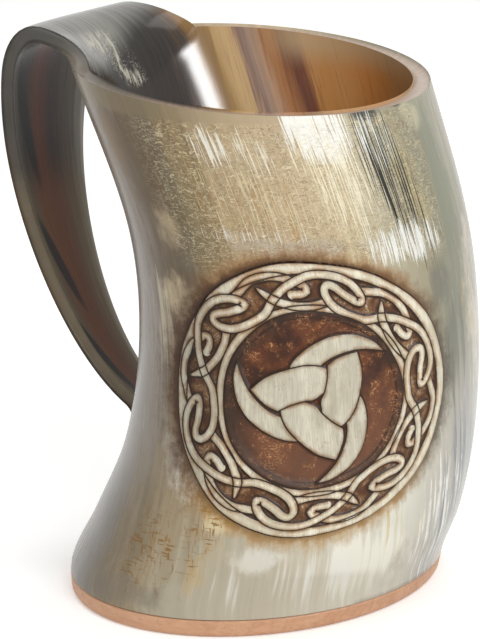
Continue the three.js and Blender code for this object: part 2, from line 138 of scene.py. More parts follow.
def face_centres(piece: Piece) -> Array:
    """Reads the middles of a mesh's faces as rows x, y, z."""
    return vectors(piece.data.polygons, "center")


def place_points(piece: Piece, points: Array) -> None:
    """Moves a mesh's points to the rows of an array."""
    piece.data.vertices.foreach_set("co", points.astype(np.float32).ravel())
    piece.data.update()


def store(piece: Piece, name: str, values: Array) -> None:
    """Keeps a value or a vector for each point of a mesh, for its material to read.

    Args:
        piece: The mesh object.
        name: The attribute's name.
        values: One number or one row of three numbers for each point.
    """
    vector = values.ndim == 2
    layer = piece.data.attributes.new(name, "FLOAT_VECTOR" if vector else "FLOAT", "POINT")
    layer.data.foreach_set("vector" if vector else "value", values.astype(np.float32).ravel())


def weld() -> None:
    """Welds the active mesh where its edges meet, closes its open ends and turns its faces outwards."""
    bpy.ops.object.mode_set(mode="EDIT")
    bpy.ops.mesh.select_all(action="SELECT")
    bpy.ops.mesh.remove_doubles(threshold=WELD)
    bpy.ops.mesh.fill_holes(sides=0)
    bpy.ops.mesh.select_all(action="SELECT")
    bpy.ops.mesh.normals_make_consistent(inside=False)
    bpy.ops.object.mode_set(mode="OBJECT")


def join_sheets(name: str, sheets: list[Piece]) -> Piece:
    """Joins rolled sheets into one closed mesh whose faces point outwards.

    Args:
        name: The piece's name.
        sheets: The sheets, whose edges meet.

    Returns:
        The joined piece.
    """
    begin_piece()
    for sheet in sheets:
        sheet.select_set(True)
    bpy.context.view_layer.objects.active = sheets[0]
    bpy.ops.object.join()
    piece = bpy.context.object
    piece.name = name
    piece.data.name = name
    weld()
    return piece


def select_faces(piece: Piece, chosen: Array) -> None:
    """Selects a mesh's faces and goes to edit mode with them selected.

    Args:
        piece: The mesh object.
        chosen: A mask of its faces.
    """
    bpy.context.view_layer.objects.active = piece
    bpy.ops.object.mode_set(mode="EDIT")
    bpy.ops.mesh.select_mode(type="FACE")
    bpy.ops.mesh.select_all(action="DESELECT")
    bpy.ops.object.mode_set(mode="OBJECT")
    piece.data.polygons.foreach_set("select", chosen)
    bpy.ops.object.mode_set(mode="EDIT")


def hand_over(piece: Piece, material: bpy.types.Material, node: str) -> None:
    """Dresses a finished piece, fixes it to the body and lets it stand for its CAD node.

    Args:
        piece: The finished mesh object.
        material: Its finish.
        node: The CAD node that it stands for.
    """
    piece.data.materials.clear()
    piece.data.materials.append(material)
    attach(piece, BODY)
    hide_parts(node)
    log.info("%s: %d faces, stands for %s", piece.name, len(piece.data.polygons), node)


# Shape of the horn


@dataclass(frozen=True)
class SmoothLine:
    """A smooth line through stations, each a place and a value."""

    places: Row
    values: Row

    def at(self, place: Any) -> Array:
        """Gives the line's value.

        Args:
            place: One place or an array of places.

        Returns:
            The values there.
        """
        x, v = np.asarray(self.places), np.asarray(self.values)
        place = np.asarray(place, dtype=float)
        before = np.maximum(np.arange(len(x)) - 1, 0)
        after = np.minimum(np.arange(len(x)) + 1, len(x) - 1)
        slope = (v[after] - v[before]) / (x[after] - x[before])
        i = np.clip(np.searchsorted(x, place, side="left") - 1, 0, len(x) - 2)
        span, rise = x[i + 1] - x[i], v[i + 1] - v[i]
        t = (place - x[i]) / span
        bend_in, bend_out = slope[i] * span - rise, rise - slope[i + 1] * span
        return v[i] + t * rise + t * (1 - t) * ((1 - t) * bend_in + t * bend_out)


@dataclass
class HornShape:
    """Lines of the wall and of the strap, as the CAD part has them."""

    rim_height: float = 144 * MM
    rim_tilt: float = 4 * MM
    wall: float = 4.8 * MM
    edge_round: float = 1.7 * MM
    fit_gap: float = 0.3 * MM
    bottom: float = 5.3 * MM
    heights: Row = (0, 8 * MM, 22 * MM, 45 * MM, 75 * MM, 105 * MM, 144 * MM)
    backs: Row = (
        -48 * MM, -48 * MM, -40.5 * MM, -30.5 * MM, -27 * MM, -31.5 * MM, -49.5 * MM
    )
    bellies: Row = (47 * MM, 49 * MM, 55 * MM, 60 * MM, 61.5 * MM, 57.5 * MM, 44 * MM)
    depths: Row = (
        58.5 * MM, 58.5 * MM, 57 * MM, 53.5 * MM, 50.5 * MM, 49.5 * MM, 50.5 * MM
    )
    strap_thick: float = 4.6 * MM
    strap_reach: float = 77.5 * MM
    crest_reach: float = 61 * MM
    crest_rise: float = 8.5 * MM
    arch_drop: float = 28 * MM
    root_drop: float = 15 * MM
    root_near: float = math.radians(50)
    root_far: float = math.radians(32)
    crest_half_width: float = 22.5 * MM
    grip_half_width: float = 15.5 * MM
    foot_half_width: float = 5.8 * MM
    tip_half_width: float = 3.2 * MM
    tip_length: float = 3 * MM
    foot_end: float = 15 * MM
    foot_top: float = 29 * MM
    bend_top: float = 47 * MM
    bend_standoff: float = 10 * MM
    bend_slope: float = 0.65
    root_pull: float = 7 * MM
    crest_pull: float = 8 * MM
    outer_pull: float = 17 * MM
    grip_pull: float = 27 * MM
    bend_pull: float = 22 * MM
    foot_pull: float = 7 * MM
    curve_steps: int = 80
    turn_step: float = 1e-4
    up_step: float = 0.05 * MM

    def __post_init__(self) -> None:
        """Makes the smooth lines and measures the strap's middle line."""
        self.back = SmoothLine(self.heights, self.backs)
        self.belly = SmoothLine(self.heights, self.bellies)
        self.depth = SmoothLine(self.heights, self.depths)
        self._measure_strap()

    def wall_point(self, turn: Any, height: Any, inset: Any = 0.0) -> Array:
        """Finds points of the wall's oval.

        Args:
            turn: Angles round the wall, 0 at the handle and negative towards the medallion.
            height: Heights above the table.
            inset: Distances in from the outer face.

        Returns:
            Points, in rows x, y, z.
        """
        turn, height = np.broadcast_arrays(np.asarray(turn, float), np.asarray(height, float))
        back, belly, depth = self.back.at(height), self.belly.at(height), self.depth.at(height)
        half, middle = (belly - back) / 2, (belly + back) / 2
        out_x, out_y = -np.cos(turn) * depth, np.sin(turn) * half
        length = np.hypot(out_x, out_y)
        x = middle - half * np.cos(turn) - inset * out_x / length
        y = depth * np.sin(turn) - inset * out_y / length
        return np.stack([x, y, height], axis=-1)

    def step_round(self, turn: Array, height: Array) -> Array:
        """Short steps round the wall's outer face, as vectors, two turn steps long."""
        return self.wall_point(turn + self.turn_step, height) - self.wall_point(turn - self.turn_step, height)

    def step_up(self, turn: Array, height: Array) -> Array:
        """Short steps up the wall's outer face, as vectors, two up steps high."""
        return self.wall_point(turn, height + self.up_step) - self.wall_point(turn, height - self.up_step)

    def wall_out(self, turn: Array, height: Array) -> Array:
        """Finds the outward normals of the wall's outer face at angles and heights."""
        out = np.cross(self.step_up(turn, height), self.step_round(turn, height))
        return out / np.linalg.norm(out, axis=-1, keepdims=True)

    def wall_way(self, height: float) -> Array:
        """Unit direction up the handle's side of the wall, in the handle's plane (x, z)."""
        run = float(self.back.at(height + self.fit_gap) - self.back.at(height - self.fit_gap))
        return np.array([run, 2 * self.fit_gap]) / math.hypot(run, 2 * self.fit_gap)

    def wall_top(self, turn: Array) -> Array:
        """Finds where the wall ends: at the rim, and in a dip below it where the tongue bends out.

        Args:
            turn: Angles round the wall.

        Returns:
            Heights above the table.
        """
        turn = (np.asarray(turn, float) + math.pi) % (2 * math.pi) - math.pi
        rim = self.rim_height + self.rim_tilt * np.cos(turn)
        share = np.abs(turn) / np.where(turn < 0, self.root_near, self.root_far)
        return rim - self.root_drop * np.cos(math.pi / 2 * np.minimum(share, 1.0))

    def _bend(self, start: tuple[Array, Array, float], end: tuple[Array, Array, float]) -> Array:
        """Samples a smooth curve from one point to another.

        Args:
            start: The first point, the curve's direction there and how far that pulls it.
            end: The same of the last point.

        Returns:
            The curve's points, in rows.
        """
        (p, leave, pull), (q, arrive, pull_end) = start, end
        t = np.linspace(0, 1, self.curve_steps + 1)[:, None]
        a, b = p + leave * pull, q - arrive * pull_end
        return (1 - t) ** 3 * p + 3 * (1 - t) ** 2 * t * a + 3 * (1 - t) * t ** 2 * b + t ** 3 * q

    def _measure_strap(self) -> None:
        """Lays the middle line of the strap's gap-side face and measures it."""
        def on_wall(z: float, gap: float) -> Array:
            """A point off the handle's side of the wall, in the handle's plane."""
            return np.array([float(self.back.at(z)) - gap, z])

        outward, down = np.array([-1.0, 0.0]), np.array([0.0, -1.0])
        root_z = float(self.wall_top(0.0))
        root = on_wall(root_z, 0.0)
        crest = np.array([-self.crest_reach, self.rim_height + self.crest_rise - self.strap_thick])
        outermost = np.array([self.strap_thick - self.strap_reach, crest[1] - self.arch_drop])
        bend = on_wall(self.bend_top, self.bend_standoff)
        bend_way = np.array([1.0, -self.bend_slope]) / math.hypot(1.0, self.bend_slope)
        foot_top = on_wall(self.foot_top, self.fit_gap)
        foot_way = -self.wall_way(self.foot_top)
        foot = np.array([
            on_wall(z, self.fit_gap) for z in np.linspace(self.foot_top, self.foot_end, self.curve_steps + 1)
        ])
        curves = [
            self._bend((root, self.wall_way(root_z), self.root_pull), (crest, outward, self.crest_pull)),
            self._bend((crest, outward, self.crest_pull), (outermost, down, self.outer_pull)),
            self._bend((outermost, down, self.grip_pull), (bend, bend_way, self.bend_pull)),
            self._bend((bend, bend_way, self.foot_pull), (foot_top, foot_way, self.foot_pull)),
            foot,
        ]
        path = np.vstack([curves[0][:1]] + [curve[1:] for curve in curves])
        steps = np.linalg.norm(np.diff(path, axis=0), axis=1)
        self.path = path
        self.path_length = np.concatenate([[0.0], np.cumsum(steps)])
        ends = [self.path_length[self.curve_steps * (i + 1)] for i in range(len(curves))]
        self.crest_at, self.outermost_at, self.bend_at, self.foot_at, self.tip_at = ends
        way = np.gradient(path, self.path_length, axis=0)
        self.path_way = way / np.linalg.norm(way, axis=1, keepdims=True)

    def _along(self, values: Array, along: Array) -> Array:
        """Reads both columns of a table along the strap's middle line."""
        columns = [np.interp(along, self.path_length, values[:, i]) for i in (0, 1)]
        return np.stack(columns, axis=-1)

    @staticmethod
    def fade(along: Array, run: float) -> Array:
        """Falls smoothly from 1 at the root to 0 at the end of a run along the strap."""
        t = np.minimum(along / run, 1.0)
        return (1 - t) ** 2 * (1 + t)

    def strap_point(self, along: Array, turn: Array) -> Array:
        """Finds points of the strap's gap-side face.

        Args:
            along: Lengths along the strap from its root.
            turn: Angles round the root, which say how far across the strap a point is.

        Returns:
            Points, in rows x, y, z.
        """
        along, turn = np.broadcast_arrays(np.asarray(along, float), np.asarray(turn, float))
        middle = self._along(self.path, along)
        edge = self.wall_point(turn, self.wall_top(turn))
        root = self.wall_point(0.0, self.wall_top(0.0))
        share = np.where(turn < 0, self._reach(-self.root_near, along), self._reach(self.root_far, along))
        over_crest = (self.crest_at + self.outermost_at) / 2
        x = middle[..., 0] + (edge[..., 0] - root[0]) * self.fade(along, over_crest)
        z = middle[..., 1] + (edge[..., 2] - root[2]) * self.fade(along, self.crest_at)
        return np.stack([x, edge[..., 1] * share, z], axis=-1)

    def _reach(self, turn: float, along: Array) -> Array:
        """Finds how wide one side of the strap is along it.

        Args:
            turn: The angle of that side's edge at the root.
            along: Lengths along the strap from its root.

        Returns:
            Shares of the width at the root.
        """
        root = abs(float(self.wall_point(turn, self.wall_top(turn))[1]))
        line = SmoothLine(
            (0.0, self.crest_at, self.outermost_at, self.bend_at, self.foot_at,
             self.tip_at - self.tip_length, self.tip_at),
            (root, self.crest_half_width, self.grip_half_width, self.foot_half_width,
             self.foot_half_width, self.foot_half_width, self.tip_half_width),
        )
        return line.at(along) / root

    def strap_across(self, along: Array, turn: Array) -> Array:
        """Steps from the strap's gap-side face through to its outside face.

        Args:
            along: Lengths along the strap.
            turn: Angles round the root.

        Returns:
            The steps, as vectors.
        """
        along, turn = np.broadcast_arrays(np.asarray(along, float), np.asarray(turn, float))
        level = (self.wall_point(turn, self.rim_height, MM) - self.wall_point(turn, self.rim_height)) / MM
        way = self._along(self.path_way, along)
        plain = np.stack([way[..., 1], np.zeros_like(along), -way[..., 0]], axis=-1)
        share = self.fade(along, self.crest_at)[..., None]
        step = plain + (level - plain) * share
        step = step / np.linalg.norm(step, axis=-1, keepdims=True)
        return step * (self.strap_thick + (self.wall - self.strap_thick) * share)


# Carved medallion


@dataclass(frozen=True)
class Oval:
    """A turned oval on the wall, which stretches circles along one axis and draws them in across it."""

    right: float
    up: float
    turn: float
    long: float
    short: float

    def place(self, radius: Any, angle: Any) -> Array:
        """Finds places by their radius and their angle from the right.

        Args:
            radius: Radii in millimetres.
            angle: Angles in radians.

        Returns:
            Rows right, up, in millimetres.
        """
        x = radius * self.long * np.cos(angle - self.turn)
        y = radius * self.short * np.sin(angle - self.turn)
        c, s = math.cos(self.turn), math.sin(self.turn)
        return np.stack([self.right + x * c - y * s, self.up + x * s + y * c], axis=-1)

    def polar(self, places: Array) -> tuple[Array, Array]:
        """Measures places, the other way round.

        Args:
            places: Rows right, up, in millimetres.

        Returns:
            Radii in millimetres, and angles in radians.
        """
        c, s = math.cos(self.turn), math.sin(self.turn)
        right, up = places[:, 0] - self.right, places[:, 1] - self.up
        x, y = (right * c + up * s) / self.long, (up * c - right * s) / self.short
        return np.hypot(x, y), np.arctan2(y, x) + self.turn


@dataclass
class Medallion:
    """The carving: a ring of interlaced strands round a disc with three interlocked horns.

    Its own measures are millimetres on the wall, right and up from its centre.
    """

    turn: float = math.radians(-132.16)
    height: float = 66.45 * MM
    ring: Oval = Oval(-1.2, 0.2, math.radians(-21), 1.063, 0.94)
    band: Oval = Oval(0.1, 0.0, math.radians(-20), 1.055, 0.947)
    dish: Oval = Oval(-0.7, 0.4, math.radians(-28), 1.045, 0.957)
    outer: float = 39.4
    band_inner: float = 36.3
    hub_outer: float = 26.8
    disc: float = 24.8
    wobble: float = 0.22
    repeats: Row = (107.0, 50.5, -9.3, -68.0, -127.2, -191.4)
    strand_half: float = 1.18
    over_strand: Rows = (
        (30.0, 0), (32.4, .12), (34.1, .225), (35.6, .32), (36.3, .412), (36.3, .528), (35.6, .62),
        (34.2, .695), (32.6, .748), (31.2, .765), (30.9, .704), (31.9, .6), (33.2, .53), (33.6, .475),
        (32.3, .447), (30.2, .463), (28.1, .523), (26.8, .624), (26.5, .755), (27.2, .884),
    )
    spike_strand: Rows = (
        (34.2, -.077), (32.4, -.05), (30.0, 0), (28.5, .077), (27.3, .194), (27.3, .333), (28.6, .46),
    )
    hook_strand: Rows = (
        (34.0, .74), (35.0, .82), (36.1, .9), (36.4, 1.0), (36.0, 1.085), (35.2, 1.16), (34.0, 1.22),
        (33.0, 1.28), (31.6, 1.3), (30.6, 1.25), (30.6, 1.18),
    )
    spike_run: float = 0.22
    spike_over: float = 0.42
    horn_turns: Row = (34.0, 154.0, 274.0)
    horn_tail: Rows = (
        (10.5, 105), (12.5, 88), (14.5, 70), (16.6, 55), (19.2, 40), (21.3, 26), (22.7, 12), (23.2, 0),
        (20.6, 8), (18.7, 15), (17, 21), (14.6, 30), (12.2, 40), (10, 50), (8, 60),
    )
    tail_corners: tuple[int, ...] = (0, 7, 14)
    horn_mouth: Rows = (
        (17.7, -103), (15, -119), (12.8, -134), (11.2, -153), (10.5, -172), (10, 168), (9.6, 150),
        (5, 140), (2, 150), (1.2, -120), (3.4, -98), (7, -86), (10.6, -79), (13, -87), (15.3, -95.5),
    )
    mouth_corners: tuple[int, ...] = (0, 6, 12)
    line_step: float = 0.12
    top_depth: float = 0.1
    ring_depth: float = 0.8
    disc_depth: float = 1.25
    disc_slope: float = 3.5
    groove_depth: float = 0.35
    groove_half: float = 0.45
    halo_depth: float = 0.6
    halo_width: float = 5.0
    near: float = 1.5
    far_off: float = 3.0
    strand_cover: float = 0.96
    edge_cover: float = 0.9
    edge_samples: int = 3000
    spike_point: float = 0.02
    outer_swings: int = 5
    disc_swings: int = 3
    swing_share: float = 0.6
    ring_wall: float = 0.5
    horn_wall: float = 0.7
    disc_lip: float = 0.3
    lay_samples: int = 8

    def lay(self, shape: HornShape, turn: Array, height: Array) -> Array:
        """Measures places on the wall from the medallion's centre.

        Args:
            shape: The horn's lines.
            turn: Angles round the wall.
            height: Heights above the table.

        Returns:
            Rows right, up, in millimetres.
        """
        nodes, weights = np.polynomial.legendre.leggauss(self.lay_samples)
        right, up = np.zeros_like(turn), np.zeros_like(turn)
        round_by, up_by = turn - self.turn, height - self.height
        for share, weight in zip((1 + nodes) / 2, weights / 2):
            step = shape.step_round(self.turn + round_by * share, height)
            right -= weight * round_by * np.linalg.norm(step, axis=-1) / (2 * shape.turn_step)
            step = shape.step_up(turn, self.height + up_by * share)
            up += weight * up_by * np.linalg.norm(step, axis=-1) / (2 * shape.up_step)
        return np.stack([right / MM, up / MM], axis=-1)

    @staticmethod
    def spline(points: Array, closing: Array | None = None, steps: int = 8) -> Array:
        """Draws a smooth line through points.

        Args:
            points: The points, in rows.
            closing: For a closed line, the point before the first and the two after the last.
            steps: Samples for each span.

        Returns:
            The line's samples.
        """
        if closing is None:
            ends = [2 * points[0] - points[1], 2 * points[-1] - points[-2]]
            q = np.vstack([ends[0], points, ends[1]])
        else:
            q = np.vstack([closing[0], points, closing[1:]])
        t = np.linspace(0, 1, steps, endpoint=False)[:, None]
        spans = []
        for a, b, c, d in zip(q, q[1:], q[2:], q[3:]):
            curve = (2 * a - 5 * b + 4 * c - d) * t ** 2 + (3 * b - a - 3 * c + d) * t ** 3
            spans.append(b + 0.5 * ((c - a) * t + curve))
        return np.vstack(spans + [q[-2:-1]])

    def _ring_place(self, samples: Array) -> Array:
        """Places samples of a strand on the wall.

        Args:
            samples: Rows radius, repeats round the ring.

        Returns:
            Rows right, up, in millimetres.
        """
        count = len(self.repeats)
        units = np.arange(-count, 2 * count + 1)
        angles = [math.radians(self.repeats[i % count] - 360.0 * (i // count)) for i in units]
        return self.ring.place(samples[:, 0], np.interp(samples[:, 1], units, angles))

    def _strands(self) -> tuple[Array, list[Array], list[Array]]:
        """Lays the strands' middle lines.

        Returns:
            The over strand, which runs right round, then the spikes and the hooks.
        """
        count = len(self.repeats)
        base = np.array(self.over_strand)
        ring = np.vstack([base + (0, i) for i in range(count)])
        closing = np.vstack([base[-1] - (0, 1), base[0] + (0, count), base[1] + (0, count)])
        over = self._ring_place(self.spline(ring, closing))
        spikes, hooks = (
            [self._ring_place(self.spline(np.array(line) + (0, i))) for i in range(count)]
            for line in (self.spike_strand, self.hook_strand)
        )
        return over, spikes, hooks

    def _horns(self) -> tuple[list[Array], list[Array]]:
        """Lays the outlines of the three horns.

        Returns:
            The outlines of their tails, and of their mouths.
        """
        tails, mouths = [], []
        for outline, corners, kept in (
            (self.horn_tail, self.tail_corners, tails), (self.horn_mouth, self.mouth_corners, mouths)
        ):
            polar = np.array(outline, float)
            for turn in self.horn_turns:
                points = self.dish.place(polar[:, 0], np.radians(polar[:, 1] + turn))
                points = np.vstack([points, points[:1]])
                stops = [*corners, len(points) - 1]
                runs = [self.spline(points[a:b + 1]) for a, b in zip(stops, stops[1:]) if b > a]
                kept.append(np.vstack([run[:-1] for run in runs] + [points[-1:]]))
        return tails, mouths

    def _resample(self, line: Array) -> tuple[Array, Array]:
        """Spaces a line's samples evenly.

        Args:
            line: The line's points, in rows.

        Returns:
            The points and each one's share of the line's length.
        """
        lengths = np.concatenate([[0], np.cumsum(np.linalg.norm(np.diff(line, axis=0), axis=1))])
        count = max(int(lengths[-1] / self.line_step), 2)
        at = np.linspace(0, lengths[-1], count)
        points = np.stack([np.interp(at, lengths, column) for column in line.T], axis=-1)
        return points, at / lengths[-1]

    @staticmethod
    def inside(points: Array, outline: Array) -> Array:
        """Says which points lie inside a closed outline.

        Args:
            points: The points, in rows.
            outline: The outline's points, the last one the same as the first.

        Returns:
            A mask of the points.
        """
        crossings = np.zeros(len(points), dtype=int)
        for (ax, ay), (bx, by) in zip(outline, outline[1:]):
            spans = (ay > points[:, 1]) != (by > points[:, 1])
            at = ax + (points[:, 1] - ay) * (bx - ax) / (by - ay if by != ay else 1.0)
            crossings += spans & (points[:, 0] < at)
        return crossings % 2 == 1

    @staticmethod
    def distance(points: Array, samples: Array) -> tuple[Array, Array]:
        """Finds the nearest of many samples for each point.

        Args:
            points: The points, in rows.
            samples: The samples, in rows.

        Returns:
            The distances and the samples' indices.
        """
        tree = kdtree.KDTree(len(samples))
        for i, (x, y) in enumerate(samples):
            tree.insert((x, y, 0.0), i)
        tree.balance()
        found = [tree.find((x, y, 0.0)) for x, y in points]
        return np.array([hit[2] for hit in found]), np.array([hit[1] for hit in found])

    def _hand_cut(self, angle: Array, turns: int) -> Array:
        """How far a hand-cut edge strays from its oval, with a number of swings round it."""
        small = self.swing_share * np.sin((2 * turns + 1) * angle + 1.0)
        return self.wobble * (np.sin(turns * angle + turns) + small)

    def _half_width(self, share: Array, spike: bool) -> Array:
        """Half width along a strand, which swells from a point at the start of a spike."""
        swell = np.clip(share / self.spike_run, self.spike_point, 1.0) if spike else np.ones(len(share))
        return self.strand_half * np.sqrt(swell)

    def _ring_fields(self, spots: Array) -> tuple[Array, list[Array]]:
        """Measures the strands.

        Args:
            spots: Places near the medallion.

        Returns:
            Distances outside the strands, and the points of the lines that outline them.
        """
        over, spikes, hooks = self._strands()
        over_dense = self._resample(over)[0]
        raised = np.full(len(spots), self.far_off)
        lines: list[Array] = []
        for group in ([over], spikes, hooks):
            spike = group is spikes
            dense = [self._resample(line) for line in group]
            halves = np.concatenate([self._half_width(share, spike) for _, share in dense])
            gap, index = self.distance(spots, np.vstack([points for points, _ in dense]))
            raised = np.minimum(raised, gap - halves[index])
            for points, share in dense:
                way = np.gradient(points, axis=0)
                way /= np.maximum(np.linalg.norm(way, axis=1, keepdims=True), TINY)
                side = np.stack([-way[:, 1], way[:, 0]], axis=-1) * self._half_width(share, spike)[:, None]
                for edge in (points + side, points - side):
                    shown = np.ones(len(edge), dtype=bool)
                    if group[0] is not over:
                        shown = self.distance(edge, over_dense)[0] > self.strand_half * self.strand_cover
                    if spike:
                        shown |= share < self.spike_over
                    lines.append(edge[shown])
        return raised, lines

    def _disc_fields(self, spots: Array) -> tuple[Array, list[Array]]:
        """Measures the three horns, each of whose mouths lies over the next.

        Args:
            spots: Places near the medallion.

        Returns:
            Distances outside the horns, and the points of the lines that outline them.
        """
        tails, mouths = self._horns()
        solid = np.any([self.inside(spots, outline) for outline in tails + mouths], axis=0)
        outlines = [self._resample(outline)[0] for outline in tails + mouths]
        gap = self.distance(spots, np.vstack(outlines))[0]
        lines = []
        for i, points in enumerate(outlines):
            if i < len(tails):
                hidden = np.any([self.inside(points, mouth) for mouth in mouths], axis=0)
            else:
                hidden = self.inside(points, mouths[(i + 2) % len(mouths)])
            lines.append(points[~hidden])
        return np.where(solid, -gap, gap), lines

    def _edge_lines(self) -> list[Array]:
        """Lays the edges of the ring and of the disc.

        Returns:
            The points of each edge, without those that a strand covers.
        """
        angle = np.linspace(-math.pi, math.pi, self.edge_samples)
        band = self.band.place(self.band_inner, angle)
        hub = self.dish.place(self.hub_outer, angle)
        over = self._resample(self._strands()[0])[0]
        covered = self.strand_half * self.edge_cover
        shown = [edge[self.distance(edge, over)[0] > covered] for edge in (band, hub)]
        outer = self.band.place(self.outer + self._hand_cut(angle, self.outer_swings), angle)
        disc = self.dish.place(self.disc + self._hand_cut(angle, self.disc_swings), angle)
        return [*shown, outer, disc]

    def fields(self, places: Array) -> dict[str, Array]:
        """Measures the carving at places on the wall.

        Args:
            places: Rows right, up from the centre, from lay.

        Returns:
            Arrays: line, the distance to the nearest cut line; ground, the distance into the cut-away
            ground; beyond, the distance outside the ring; disc, the distance into the disc; and depth,
            all in millimetres.
        """
        band_radius, band_angle = self.band.polar(places)
        dish_radius, dish_angle = self.dish.polar(places)
        beyond = band_radius - self.outer - self._hand_cut(band_angle, self.outer_swings)
        disc = self.disc + self._hand_cut(dish_angle, self.disc_swings) - dish_radius
        near = beyond < self.near
        spots = places[near]
        raised, strand_lines = self._ring_fields(spots)
        horn_gap, horn_lines = self._disc_fields(spots)
        lines = np.vstack(strand_lines + horn_lines + self._edge_lines())
        line = np.full(len(places), self.far_off)
        line[near] = self.distance(spots, lines)[0]
        in_band = np.minimum(self.band_inner - band_radius, dish_radius - self.hub_outer)[near]
        ring_ground = np.minimum(raised, in_band)
        disc_ground = np.minimum(horn_gap, disc[near])
        ground = np.full(len(places), -self.far_off)
        ground[near] = np.maximum(ring_ground, disc_ground)
        ring_cut = self.ring_depth * smoothstep(ring_ground, 0.0, self.ring_wall)
        disc_cut = self.disc_depth * np.minimum(
            smoothstep(horn_gap, 0.0, self.horn_wall),
            smoothstep(disc[near], -self.disc_lip, self.disc_slope),
        )
        cut = np.where(ring_ground > disc_ground, ring_cut, disc_cut)
        groove = self.groove_depth * smoothstep(line[near], self.groove_half, 0.0)
        halo = self.halo_depth * (1 - smoothstep(beyond, 0.0, self.halo_width))
        depth = np.where(beyond < 0, self.top_depth, halo)
        depth[near] += np.where(ground[near] > 0, np.maximum(cut, groove), groove)
        return {"line": line, "ground": ground, "beyond": beyond, "disc": disc, "depth": depth}


# Materials


class NodeSheet:
    """Adds nodes to a node tree and links them."""

    def __init__(self, tree: bpy.types.NodeTree) -> None:
        """Takes the tree."""
        self.tree = tree

    def put(self, socket: bpy.types.NodeSocket, value: Any) -> None:
        """Links an output to a socket, or sets the socket's own value.

        Args:
            socket: The socket.
            value: A field of this sheet, a colour or a plain value.
        """
        source = value.source if isinstance(value, Field) else value
        if isinstance(source, bpy.types.NodeSocket):
            self.tree.links.new(source, socket)
        else:
            colour = isinstance(source, str)
            socket.default_value = tint(source)[:len(socket.default_value)] if colour else source

    def add(self, kind: str, inputs: dict[Any, Any], **settings: Any) -> bpy.types.Node:
        """Adds a node.

        Args:
            kind: The node's type.
            inputs: Fields or plain values for its sockets, by name or number.
            settings: Its other settings.

        Returns:
            The node.
        """
        node = self.tree.nodes.new(kind)
        for name, value in settings.items():
            setattr(node, name, value)
        for key, value in inputs.items():
            self.put(node.inputs[key], value)
        return node

    def attribute(self, name: str) -> "Place":
        """The vector of a mesh attribute."""
        return Place(self, self.add("ShaderNodeAttribute", {}, attribute_name=name).outputs["Vector"])

    def number(self, name: str) -> "Number":
        """The number of a mesh attribute."""
        return Number(self, self.add("ShaderNodeAttribute", {}, attribute_name=name).outputs["Fac"])

    def object_place(self) -> "Place":
        """Object coordinates."""
        return Place(self, self.add("ShaderNodeTexCoord", {}).outputs["Object"])

    def plain(self, colour: Colour) -> "Paint":
        """One colour all over, to lay coats on."""
        return Paint(self, colour)


@dataclass(frozen=True)
class Field:
    """Something that varies over a surface: an output of a node, or a plain value all over."""

    sheet: NodeSheet
    source: Any


class Number(Field):
    """A number over a surface. Reckoning with it adds nodes to its sheet."""

    def _math(self, operation: str, a: Any, b: Any = 0.0) -> "Number":
        """One step of arithmetic."""
        node = self.sheet.add("ShaderNodeMath", {0: a, 1: b}, operation=operation)
        return Number(self.sheet, node.outputs[0])

    def __add__(self, other: Any) -> "Number":
        """The sum."""
        return self._math("ADD", self, other)

    def __sub__(self, other: Any) -> "Number":
        """The difference."""
        return self._math("SUBTRACT", self, other)

    def __rsub__(self, other: float) -> "Number":
        """The difference from a plain number."""
        return self._math("SUBTRACT", other, self)

    def __mul__(self, other: Any) -> "Number":
        """The product."""
        return self._math("MULTIPLY", self, other)

    def __truediv__(self, other: Any) -> "Number":
        """The quotient."""
        return self._math("DIVIDE", self, other)

    def __abs__(self) -> "Number":
        """The size without the sign."""
        return self._math("ABSOLUTE", self)

    def root(self) -> "Number":
        """The square root."""
        return self._math("SQRT", self)

    def larger(self, other: Any) -> "Number":
        """The larger of two numbers."""
        return self._math("MAXIMUM", self, other)

    def _map(self, ends: dict[str, Any], way: str) -> "Number":
        """The number brought from one range to another."""
        node = self.sheet.add("ShaderNodeMapRange", {"Value": self, **ends}, interpolation_type=way)
        return Number(self.sheet, node.outputs["Result"])

    def rise(self, low: Any, high: Any) -> "Number":
        """Rises smoothly from 0 at low to 1 at high, or falls where high is the lower."""
        return self._map({"From Min": low, "From Max": high}, "SMOOTHSTEP")

    def span(self, low: Any, high: Any, start: Any, end: Any) -> "Number":
        """Goes in a straight line from start at low to end at high."""
        return self._map({"From Min": low, "From Max": high, "To Min": start, "To Max": end}, "LINEAR")

    def vary(self, start: float, end: float) -> "Number":
        """A noise along the fibres, spread from start to end."""
        return self.span(0.3, 0.7, start, end)

    def blot(self, start: float, end: float) -> "Number":
        """A noise in blots, which keeps nearer its middle, spread from start to end."""
        return self.span(0.35, 0.65, start, end)

    def drift(self, reach: float) -> "Number":
        """A noise from 0 to 1 as a shift to either side, over a reach in all."""
        return (self - 0.5) * reach

    def contour(self, level: float, faint: float, full: float) -> "Number":
        """A line where the number is at a level, from its faint edge to its full core."""
        return abs(self - level).rise(faint, full)

    def ramp(self, stops: Stops) -> "Paint":
        """Makes a colour from a row of colours.

        Args:
            stops: The colours, each at its own number, in rising order.

        Returns:
            The colour.
        """
        low, high = stops[0][0], stops[-1][0]
        node = self.sheet.add("ShaderNodeValToRGB", {0: self.span(low, high, 0.0, 1.0)})
        elements = node.color_ramp.elements
        while len(elements) < len(stops):
            elements.new(0.5)
        for element, (place, colour) in zip(elements, stops):
            element.position = (place - low) / (high - low)
            element.color = tint(colour)
        return Paint(self.sheet, node.outputs["Color"])

    def bump(self, distance: float, strength: Any, under: "Place | None" = None) -> "Place":
        """Bumps the surface by this number as a height.

        Args:
            distance: The real height of 1.
            strength: How far the bumps show.
            under: The normal of bumps that lie under them.

        Returns:
            The bumped normal.
        """
        inputs = {"Height": self, "Distance": distance, "Strength": strength}
        if under is not None:
            inputs["Normal"] = under
        return Place(self.sheet, self.sheet.add("ShaderNodeBump", inputs).outputs["Normal"])


